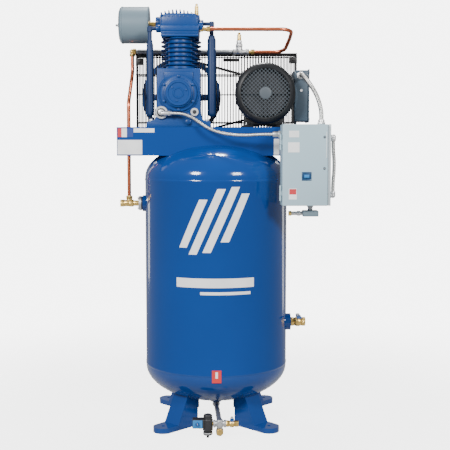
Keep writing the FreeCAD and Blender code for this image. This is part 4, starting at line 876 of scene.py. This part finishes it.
tubes_low, tubes_high = span("copper_tubes")
cooler_low, cooler_high = span("aftercooler_tube")
run_z = middle("aftercooler_tube").z
back_y = middle("aftercooler_tube").y
front_y = tubes_low.y + TUBE_R
high_z = tubes_high.z - TUBE_R
right_x = tubes_high.x - TUBE_R
start_x = cyl_x + 127
elbow_left = cooler_low.x - 16
drop_x = tubes_low.x + TUBE_R
inlet_z = middle("check_valve").z
cross_x = motor_x - 102
upper = [(start_x, front_y, high_z), (right_x, front_y, high_z), (right_x, 20, high_z - 23),
         (right_x - 15, back_y, run_z), (cross_x + 67, back_y, run_z)]
lower = [(elbow_left, back_y, run_z - 19), (elbow_left, back_y, run_z - 90), (drop_x, 0, run_z - 230),
         (drop_x, 0, tubes_low.z)]
piece("copper_pipes", [(swept(bent(points, BEND_R), TUBE_R), copper) for points in (upper, lower)],
      replaces=["copper_tubes"])

fittings = stack((head_high.x, front_y, high_z), "x", [
    (hexagon, 21, 2, 14, brass), (bar, 9, 14, 20, brass), (hexagon, 22, 32, 14, brass)])
fittings += stack((cross_x, back_y, run_z), "x", [
    (hexagon, 22, 54, 13, brass), (bar, 9, 43, 14, brass), (bar, 12, -26, 66, zinc, 1.5),
    (ring, (15, 9), -28, 12, zinc, 2), (ring, (15, 9), 31, 12, zinc, 2)])
fittings += [(bar(14, 26, (cross_x, back_y, run_z - 6), "z", 2), zinc),
             (ball(12, (elbow_left, back_y, run_z)), brass),
             (ring(14, 8, 14, (elbow_left + 2, back_y, run_z), "x", 2), brass),
             (hexagon(24, 12, (elbow_left, back_y, run_z - 8), "-z"), brass)]
piece("line_fittings_made", fittings, replaces=["line_fittings"])

safety_low = span("safety_valve_body")[0]
safety = middle("safety_valve_body")
piece("tank_safety_valve", stack((safety.x, safety.y, safety_low.z), "z", [
    (hexagon, 30, 0, 14, zinc, 1.5), (bar, 12, 13, 17, zinc, 2), (ring, (9, 3.1), 30, 26, brass),
    (hexagon, 19, 30, 7, brass)]), replaces=["safety_valve_body"])
pull_low, pull_high = span("safety_valve_stem")
piece("tank_safety_stem", [
    (bar(3, pull_high.z - pull_low.z - 4, (safety.x, safety.y, pull_low.z)), brass),
    (turned([(0, 0), (6, 0), (7, 2), (6, 5), (2, 7), (0, 7)], (safety.x, safety.y, pull_high.z - 7), "z", 24),
     brass)],
    "safety_stem", replaces=["safety_valve_stem"])

cooler = [(bar(9, cooler_high.x - cooler_low.x, (cooler_low.x, back_y, run_z), "x", 1), alloy)]
for index in range(int((cooler_high.x - cooler_low.x - 20) / 5)):
    cooler.append((ring(12, 8.5, 1.4, (cooler_low.x + 10 + 5 * index, back_y, run_z), "x", 0.3, 20), alloy))
piece("cooling_tube", cooler, replaces=["aftercooler_tube"])

# ---------------------------------------------------------------- check valve and outlet
# Turned brass bodies: the check valve hangs on a two-bolt flange, and the outlet has a
# quarter-turn ball valve with a dipped lever.
check = stack((-TANK_R, 0, inlet_z), "x", [
    (hexagon, 30, -109, 18, brass, 1.5), (bar, 14, -93, 30, brass, 2), (hexagon, 30, -70, 18, brass, 1.5),
    (bar, 12, -54, 30, brass), (ring, (31, 12), -28, 12, zinc, 1.5),
    (ring, (30, 12), -16, 4.6, black_plastic)])
check += stack((drop_x, 0, inlet_z), "z", [(bar, 12, 0, 20, brass), (hexagon, 26, 18, 14, brass, 1.2)])
for shift in (-21, 21):
    check.append((hexagon(13, 6, (-TANK_R - 28, 0, inlet_z + shift), "-x"), zinc))
piece("tank_check_valve", check, replaces=["check_valve"])

outlet_low = span("outlet_valve")[0]
outlet_z = outlet_low.z + 21
valve_x = outlet_low.x + 32
valve = stack((outlet_low.x, 0, outlet_z), "x", [
    (hexagon, 36, 0, 15, brass, 1.5), (ring, (19, 12), 49, 16, brass, 1), (hexagon, 36, 47, 11, brass, 1.5)])
valve_outline = [(0, 0), (15, 0), (19, 6), (21, 14), (21, 22), (19, 30), (15, 36), (0, 36)]
valve += [(turned(valve_outline, (outlet_low.x + 14, 0, outlet_z), "x", 48), brass),
          (bar(8, 8, (valve_x, 0, outlet_z + 18), "z"), brass)]
piece("outlet_ball_valve", valve, replaces=["outlet_valve"])
blue_grip = moulded("blue_grip", (0.01, 0.07, 0.26), 0.35, 0.15, 0.3)


def hand_lever(name, x, y, low_z, length, width, body, node):
    """A pressed lever in a dipped grip, with its nut."""
    grip = block((x - width / 2, y - length, low_z), (x + width / 2, y - length * 0.28, low_z + 6), 2.4, 4)
    arm = block((x - width / 2 + 2, y - length * 0.4, low_z + 1),
                (x + width / 2 - 2, y + width / 2, low_z + 4), 1.2)
    nut = hexagon(width * 0.7, 5, (x, y, low_z + 3))
    stem = bar(width / 6, 8, (x, y, low_z - 5))
    piece(name, [(grip, blue_grip), (arm, zinc), (nut, zinc), (stem, zinc)], body,
          replaces=[node])


hand_lever("outlet_lever_made", valve_x, 0, outlet_z + 27, 84, 22, "outlet_lever", "outlet_handle")

# ---------------------------------------------------------------- drain
# A zinc pipe from the bottom head to a cross at the front, with a timed drain valve on
# its left, a hand ball valve on its right and a brass plug in front.
cross = Vector((14, middle("auto_drain").y, 60))
pipe_start = Vector((0, 0, 55))
drain_parts = [(swept([pipe_start, cross + Vector((0, 15, 0))], 10.5), zinc), (ball(16, pipe_start), zinc),
               (bar(12, 13, pipe_start), zinc)]
for axis, at, length in (("x", (cross.x - 26, cross.y, cross.z), 52),
                         ("-y", (cross.x, cross.y + 20, cross.z), 40),
                         ("z", (cross.x, cross.y, cross.z - 32), 50)):
    drain_parts.append((bar(12.5, length, at, axis, 1.5), zinc))
for axis, at in (("x", (cross.x - 26, cross.y, cross.z)), ("-x", (cross.x + 26, cross.y, cross.z)),
                 ("-y", (cross.x, cross.y + 20, cross.z)), ("y", (cross.x, cross.y - 20, cross.z))):
    drain_parts.append((ring(15.5, 8, 9, at, axis, 2), zinc))
drain_parts += [(bar(15, 34, (cross.x, cross.y + 16, cross.z - 32), "-y", 2), brass),
                (hexagon(26, 6, (cross.x, cross.y - 16, cross.z - 32), "-y", 1.5), brass)]
piece("drain_pipework", drain_parts, replaces=["drain_manifold"])

timer_x = cross.x - 48
timer_blue = moulded("timer_blue", (0.02, 0.2, 0.5), 0.3, 0.05, 0.4)
timer_outline = [(0, 0), (17, 0), (19, 2), (19, 12), (16, 14), (16, 17), (21, 19), (21, 62), (18, 66),
                 (18, 80), (15, 84), (0, 85)]
timer_at = Vector((timer_x, cross.y, cross.z))
timed = stack(timer_at, "z", [(ring, (19.6, 15), -40, 6, zinc, 1), (bar, 5, -58, 16, black_plastic, 2)])
timed += [(turned(timer_outline, timer_at - Vector((0, 0, 45)), "z", 48), black_plastic),
          (bar(8, 22, timer_at, "x"), brass),
          (block(timer_at - Vector((63, 20, 16)), timer_at + Vector((-12, 20, 22)), 4), black_plastic),
          (block(timer_at - Vector((61, 20.2, 13)), timer_at + Vector((-22, -19, 19)), 0.4, 1), timer_blue)]
piece("timed_drain", timed, replaces=["auto_drain"])
knob = middle("timer_knob")
knob_front = span("timer_knob")[0].y
knob_at = Vector((knob.x, knob_front, knob.z))
pointer = block(knob_at - Vector((0.7, 0.1, 0)), knob_at + Vector((0.7, 1, 6.4)), 0.2, 1)
dial = [(turned([(0, 0), (6.4, 0), (7, 1), (8, 8), (8, 9), (0, 9)], knob_at, "y", 32), blue_grip),
        (pointer, white_vinyl), (bar(3, 14, knob_at + Vector((0, 2, 0)), "y"), black_plastic)]
piece("timer_dial", dial, "drain_timer", replaces=["timer_knob"])

tap_low = span("drain_valve")[0]
tap_x = cross.x + 50
tap = stack((tap_low.x, cross.y, cross.z), "x", [(hexagon, 24, 0, 12, brass, 1.2),
                                                 (ring, (13, 7), 36, 15, brass, 1)])
tap_outline = [(0, 0), (10, 0), (14, 6), (15, 13), (14, 20), (10, 26), (0, 26)]
tap += [(turned(tap_outline, (tap_low.x + 11, cross.y, cross.z), "x", 40), brass),
        (bar(6, 17, (tap_x, cross.y, cross.z), "z"), brass)]
piece("drain_tap", tap, replaces=["drain_valve"])
hand_lever("drain_lever_made", tap_x, cross.y, cross.z + 20, 44, 16, "drain_lever", "drain_handle")

# ---------------------------------------------------------------- control box
# A folded steel box in pale powder coat on two brackets, with a pan door on two pin
# hinges, slotted latch screws, plain printed panels and a blue reset button.
pale_coat = enamel("pale_powder_coat", (0.36, 0.5, 0.57), 0.42, 0.3, 0.1)
# A lighter copy of the pale powder coat: a painted highlight where light falls on the box's right side and on
# the door's raised strip.
highlight_coat = enamel("pale_coat_painted_highlight", (0.62, 0.7, 0.74), 0.42, 0.3, 0.1)
steel = metal("machined_steel", (0.5, 0.51, 0.52), 0.3)
bezel_blue = moulded("bezel_blue", (0.004, 0.05, 0.14), 0.3, 0.05, 0.4)
door_low, door_high = span("box_door")
box_left = 265
box_right, box_floor, box_top = 461, door_low.z, door_high.z
box_back, box_front = -165, -290
SHEET = 2
ENTRY_Y = -235
walls = [((box_left, box_back - SHEET, box_floor), (box_right, box_back, box_top)),
         ((box_left, box_front, box_floor), (box_left + SHEET, box_back, box_top)),
         ((box_right - SHEET, box_front, box_floor), (box_right, box_back, box_top)),
         ((box_left, box_front, box_floor), (box_right, box_back, box_floor + SHEET)),
         ((box_left, box_front, box_top - SHEET), (box_right, box_back, box_top)),
         ((box_right - 12, box_front, box_floor), (box_right, box_front + 2, box_top))]
# The right side wall and the front strip beside it take the lighter copy, a painted highlight.
case_parts = [(block(low, high, 0.7, 2), highlight_coat if low[0] > box_right - 20 else pale_coat)
              for low, high in walls]
for shift in (30, 100):
    case_parts.append((block((box_left + shift, box_back, deck_top - 60),
                             (box_left + shift + 30, deck_front, deck_top - 20), 1), blue_enamel))
hinge_x, hinge_y = box_left - 6, box_front
for level, side in ((20, 1), (62, 1), (224, 1), (266, 1)):
    z = box_floor + level
    case_parts.append((ring(5, 2.5, 20, (hinge_x, hinge_y, z), "z", 0.5, 24), pale_coat))
    case_parts.append((block((hinge_x + 3, hinge_y + 1, z), (hinge_x + 8, hinge_y + 4.5, z + 20), 0.5, 1),
                       pale_coat))
for level in (20, 224):
    case_parts.append((bar(2.5, 62, (hinge_x, hinge_y, box_floor + level), "z"), steel))
for z in (box_floor + 39, box_top - 50):
    toward = "z" if z < (box_floor + box_top) / 2 else "-z"
    case_parts += stack((box_right, ENTRY_Y, z), "x", [(hexagon, 26, 0, 6, zinc), (bar, 10, 3, 12, zinc, 2)])
    case_parts += [(ball(11, (box_right + 15, ENTRY_Y, z)), zinc),
                   (bar(10.5, 16, (box_right + 15, ENTRY_Y, z), toward, 1.5), zinc)]
case_parts += stack((box_left, ENTRY_Y, box_top - 39), "x", [(bar, 12, -35, 33, zinc, 2),
                                                             (hexagon, 28, -12, 9, zinc)])
case_parts += stack((box_right - 34, ENTRY_Y, box_top), "z", [(bar, 13, 0, 20, zinc, 2),
                                                              (hexagon, 30, 0, 9, zinc)])
piece("starter_box", case_parts, replaces=["control_box"])

door_right = door_high.x
door_front, door_back = box_front - 15.3, box_front - 0.3
button_x, button_z = middle("reset_button").x, middle("reset_button").z
door_skin = block((box_left, door_front, box_floor), (door_right, door_back, box_top), 3.5, 4)
door = [(door_skin, pale_coat),
        # The door's raised strip takes the lighter copy of the coat, a painted highlight.
        (block((door_right - 8, door_front - 1.5, box_top - 135),
               (door_right - 4, door_front + 1, box_top - 30), 0.8), highlight_coat)]
for level in (41, 245):
    z = box_floor + level
    door.append((ring(5, 2.6, 20, (hinge_x, hinge_y, z), "z", 0.5, 24), pale_coat))
    door.append((block((hinge_x + 3, hinge_y - 4.5, z), (hinge_x + 8, hinge_y - 1, z + 20), 0.5, 1),
                 pale_coat))
for level in (150, 275):
    spot = (box_left + 168, door_front, box_floor + level)
    door.append((turned([(0, 2.6), (3, 2.6), (5.4, 0.8), (5.4, 0), (0, 0)], spot, "-y", 32), slate))
    door.append((block((spot[0] - 4, door_front - 2.8, spot[2] - 0.6),
                       (spot[0] + 4, door_front - 2.2, spot[2] + 0.6), 0), zinc))
for left, right, low, high in ((-19, 19, 13, 17), (-19, 19, -17, -13), (-19, -16, -14, 14),
                               (16, 19, -14, 14)):
    door.append((block((button_x + left, door_front - 3, button_z + low),
                       (button_x + right, door_front + 0.5, button_z + high), 1, 2), bezel_blue))
for left, right, low, high, finish in (
        (box_left + 26, box_left + 66, box_top - 52, box_top - 26, print_white),
        (box_left + 22, box_left + 68, box_top - 112, box_top - 72, print_white),
        (box_left + 26, box_left + 58, box_floor + 26, box_floor + 70, print_white),
        (box_left + 28, box_left + 56, box_floor + 46, box_floor + 68, print_red)):
    proud = 0.8 if finish is print_red else 0.5
    door.append(panel(left, right, low, high, finish, door_front, proud))
piece("starter_door", door, "door", replaces=["box_door"])
button = [(block((button_x - 15.5, door_front - 1.5, button_z - 12.5),
                 (button_x + 15.5, door_front + 4, button_z + 12.5), 1), bezel_blue),
          (block((button_x - 10, door_front - 7.5, button_z - 6),
                 (button_x + 10, door_front - 1, button_z + 6), 1.5, 3), timer_blue)]
piece("reset_push", button, "reset", replaces=["reset_button"])

pressure_switch = [(block((box_left + 87, ENTRY_Y - 30, box_floor - 46),
                          (box_left + 151, ENTRY_Y + 30, box_floor - 22), 4), canister_grey)]
pressure_switch += stack((box_left + 119, ENTRY_Y, box_floor), "z", [(bar, 10, -24, 24, zinc),
                                                                     (hexagon, 24, -9, 8, zinc)])
pressure_switch += stack((box_left + 30, ENTRY_Y, box_floor - 34), "x", [
    (bar, 8, 0, 118, zinc, 1.5), (hexagon, 20, 0, 12, brass), (hexagon, 20, 36, 12, zinc)])
piece("pressure_switch_made", pressure_switch, replaces=["pressure_switch"])

# ---------------------------------------------------------------- conduits
# Flexible steel conduit wound from interlocked strip, each length held in a screwed
# connector at both ends.
conduit_steel = metal("conduit_steel", (0.58, 0.58, 0.56), 0.3, (1, 1, 1), 0.2)
CONDUITS = [
    ("sensor_conduit", 7.5, 0.446, [(-0.183, -0.149, 1.321), (-0.150, -0.149, 1.321), (-0.118, -0.157, 1.313),
                                    (-0.088, -0.170, 1.297), (-0.040, -0.190, 1.262), (0.010, -0.207, 1.240),
                                    (0.070, -0.222, 1.230), (0.128, -0.232, 1.229), (0.182, -0.235, 1.233),
                                    (0.230, -0.235, 1.233)]),
    ("motor_conduit", 9.5, 0.288, [(0.356, -0.105, 1.482), (0.356, -0.131, 1.482), (0.359, -0.160, 1.475),
                                   (0.366, -0.187, 1.463), (0.375, -0.208, 1.447), (0.390, -0.230, 1.421),
                                   (0.409, -0.241, 1.385), (0.422, -0.240, 1.345), (0.427, -0.235, 1.318),
                                   (0.427, -0.235, 1.292)]),
    ("side_conduit", 8, 0.209, [(0.476, -0.235, 0.999), (0.476, -0.235, 1.036), (0.480, -0.237, 1.083),
                                (0.480, -0.237, 1.130), (0.476, -0.235, 1.172), (0.476, -0.235, 1.208)]),
]


def spline_places(name, route):
    """Places along a route's NURBS spline."""
    curve = bpy.data.curves.new(name, "CURVE")
    curve.dimensions = "3D"
    curve.resolution_u = 40
    spline = curve.splines.new("NURBS")
    spline.points.add(len(route) - 1)
    for dot, place in zip(spline.points, route):
        dot.co = (*place, 1)
    spline.order_u = 3
    spline.use_endpoint_u = True
    holder = bpy.data.objects.new(name, curve)
    line = bpy.data.meshes.new_from_object(holder)
    places = [dot.co / MM for dot in line.vertices]
    bpy.data.objects.remove(holder)
    bpy.data.meshes.remove(line)
    return places


def evenly(places, step):
    """The same line, walked in equal steps."""
    walked = [places[0]]
    carry = 0.0
    for start, end in zip(places, places[1:]):
        run = (end - start).length
        reach = step - carry
        while reach <= run:
            walked.append(start.lerp(end, reach / run))
            reach += step
        carry = run - (reach - step)
    return walked + [places[-1]]


STRIP = 1.6
for name, radius, length, route in CONDUITS:
    track = evenly(spline_places(name + "_line", route), STRIP)
    wave = [radius - (0.0, 0.9, 1.1, 0.4)[index % 4] for index in range(len(track))]
    conduit = piece(name + "_made", [(swept(track, wave, 16), conduit_steel)], replaces=[name])
    [place * MM for place in track]

# ---------------------------------------------------------------- inner pieces
# The running gear and the starter parts that show only when the object is opened or
# turned; their CAD shapes stay and take worked finishes.
pleats = Finish("filter_paper", Roughness=0.9)
ripple = pleats.add("TexWave", {"bands_direction": "X"},
                    {"Vector": pleats.place(), "Scale": 90, "Distortion": 0.6})
pleats.feed("Base Color", pleats.blend(ripple, (0.6, 0.52, 0.36, 1), (0.85, 0.8, 0.66, 1)))
pleats.bump(ripple, 0.6)
repaint(steel, "crankshaft", "crank_bearings", "motor_rotor")
repaint(alloy, "connecting_rods", "pistons")
repaint(pleats.material, "filter_element")
repaint(black_plastic, "motor_fan", "contactor")

# ---------------------------------------------------------------- studio
# A pale floor that fades out, a bright backdrop, five soft lights and a camera at chest height.
floor_mesh = bpy.data.meshes.new("studio_floor")
floor = bmesh.new()
bmesh.ops.create_grid(floor, x_segments=2, y_segments=2, size=30)
floor.to_mesh(floor_mesh)
floor.free()
paper = Finish("studio_paper", Roughness=0.75)
paper.feed("Base Color", paper.blend(paper.noise(2.0), (0.93, 0.93, 0.93, 1), (0.96, 0.96, 0.96, 1)))
reach = paper.add("VectorMath", {"operation": "LENGTH"}, {0: paper.place()}, "Value")
paper.feed("Alpha", paper.add("MapRange", {"interpolation_type": "SMOOTHSTEP"},
                              {"Value": reach, "From Min": 0.7, "From Max": 2.6,
                               "To Min": 0.36, "To Max": 0.0}))
floor_mesh.materials.append(paper.material)
studio_floor = bpy.data.objects.new("studio_floor", floor_mesh)
bpy.context.scene.collection.objects.link(studio_floor)

SURROUND, BACKDROP = 0.35, 6.0
world = bpy.data.worlds.new("studio")
world.use_nodes = True
backdrop = world.node_tree.nodes["Background"]
backdrop.inputs["Color"].default_value = (1, 1, 1, 1)
rays = world.node_tree.nodes.new("ShaderNodeLightPath")
level = world.node_tree.nodes.new("ShaderNodeMapRange")
level.inputs["To Min"].default_value = SURROUND
level.inputs["To Max"].default_value = BACKDROP
world.node_tree.links.new(rays.outputs["Is Camera Ray"], level.inputs["Value"])
world.node_tree.links.new(level.outputs["Result"], backdrop.inputs["Strength"])
bpy.context.scene.world = world


def soft_light(name, at, aim, width, height, power):
    """A rectangular soft box that faces a point."""
    data = bpy.data.lights.new(name, "AREA")
    data.shape = "RECTANGLE"
    data.size = width
    data.size_y = height
    data.energy = power
    lamp = bpy.data.objects.new(name, data)
    lamp.location = at
    lamp.rotation_euler = (Vector(aim) - Vector(at)).to_track_quat("-Z", "Y").to_euler()
    bpy.context.scene.collection.objects.link(lamp)


soft_light("key", (-2.4, -3.6, 3.2), (0, 0, 1.0), 1.0, 1.0, 260)
soft_light("fill", (2.4, -3.6, 3.0), (0, 0, 1.0), 1.0, 1.0, 170)
soft_light("top", (0, 1.2, 4.4), (0, 0, 1.0), 0.7, 0.3, 110)
soft_light("left_edge", (-2.2, 2.3, 1.2), (0, 0, 0.9), 0.3, 2.0, 7)
soft_light("right_edge", (2.2, 2.3, 0.9), (0, 0, 0.7), 0.3, 1.6, 4)

camera_data = bpy.data.cameras.new("camera")
camera_data.lens = 73.4
camera_data.sensor_width = 36
camera = bpy.data.objects.new("camera", camera_data)
camera.location = (0.0, -3.97, 1.17)
tilt, yaw = math.radians(4.68), math.radians(0.56)
camera.rotation_euler = (math.pi / 2 - tilt, 0, -yaw)
bpy.context.scene.collection.objects.link(camera)
bpy.context.scene.camera = camera
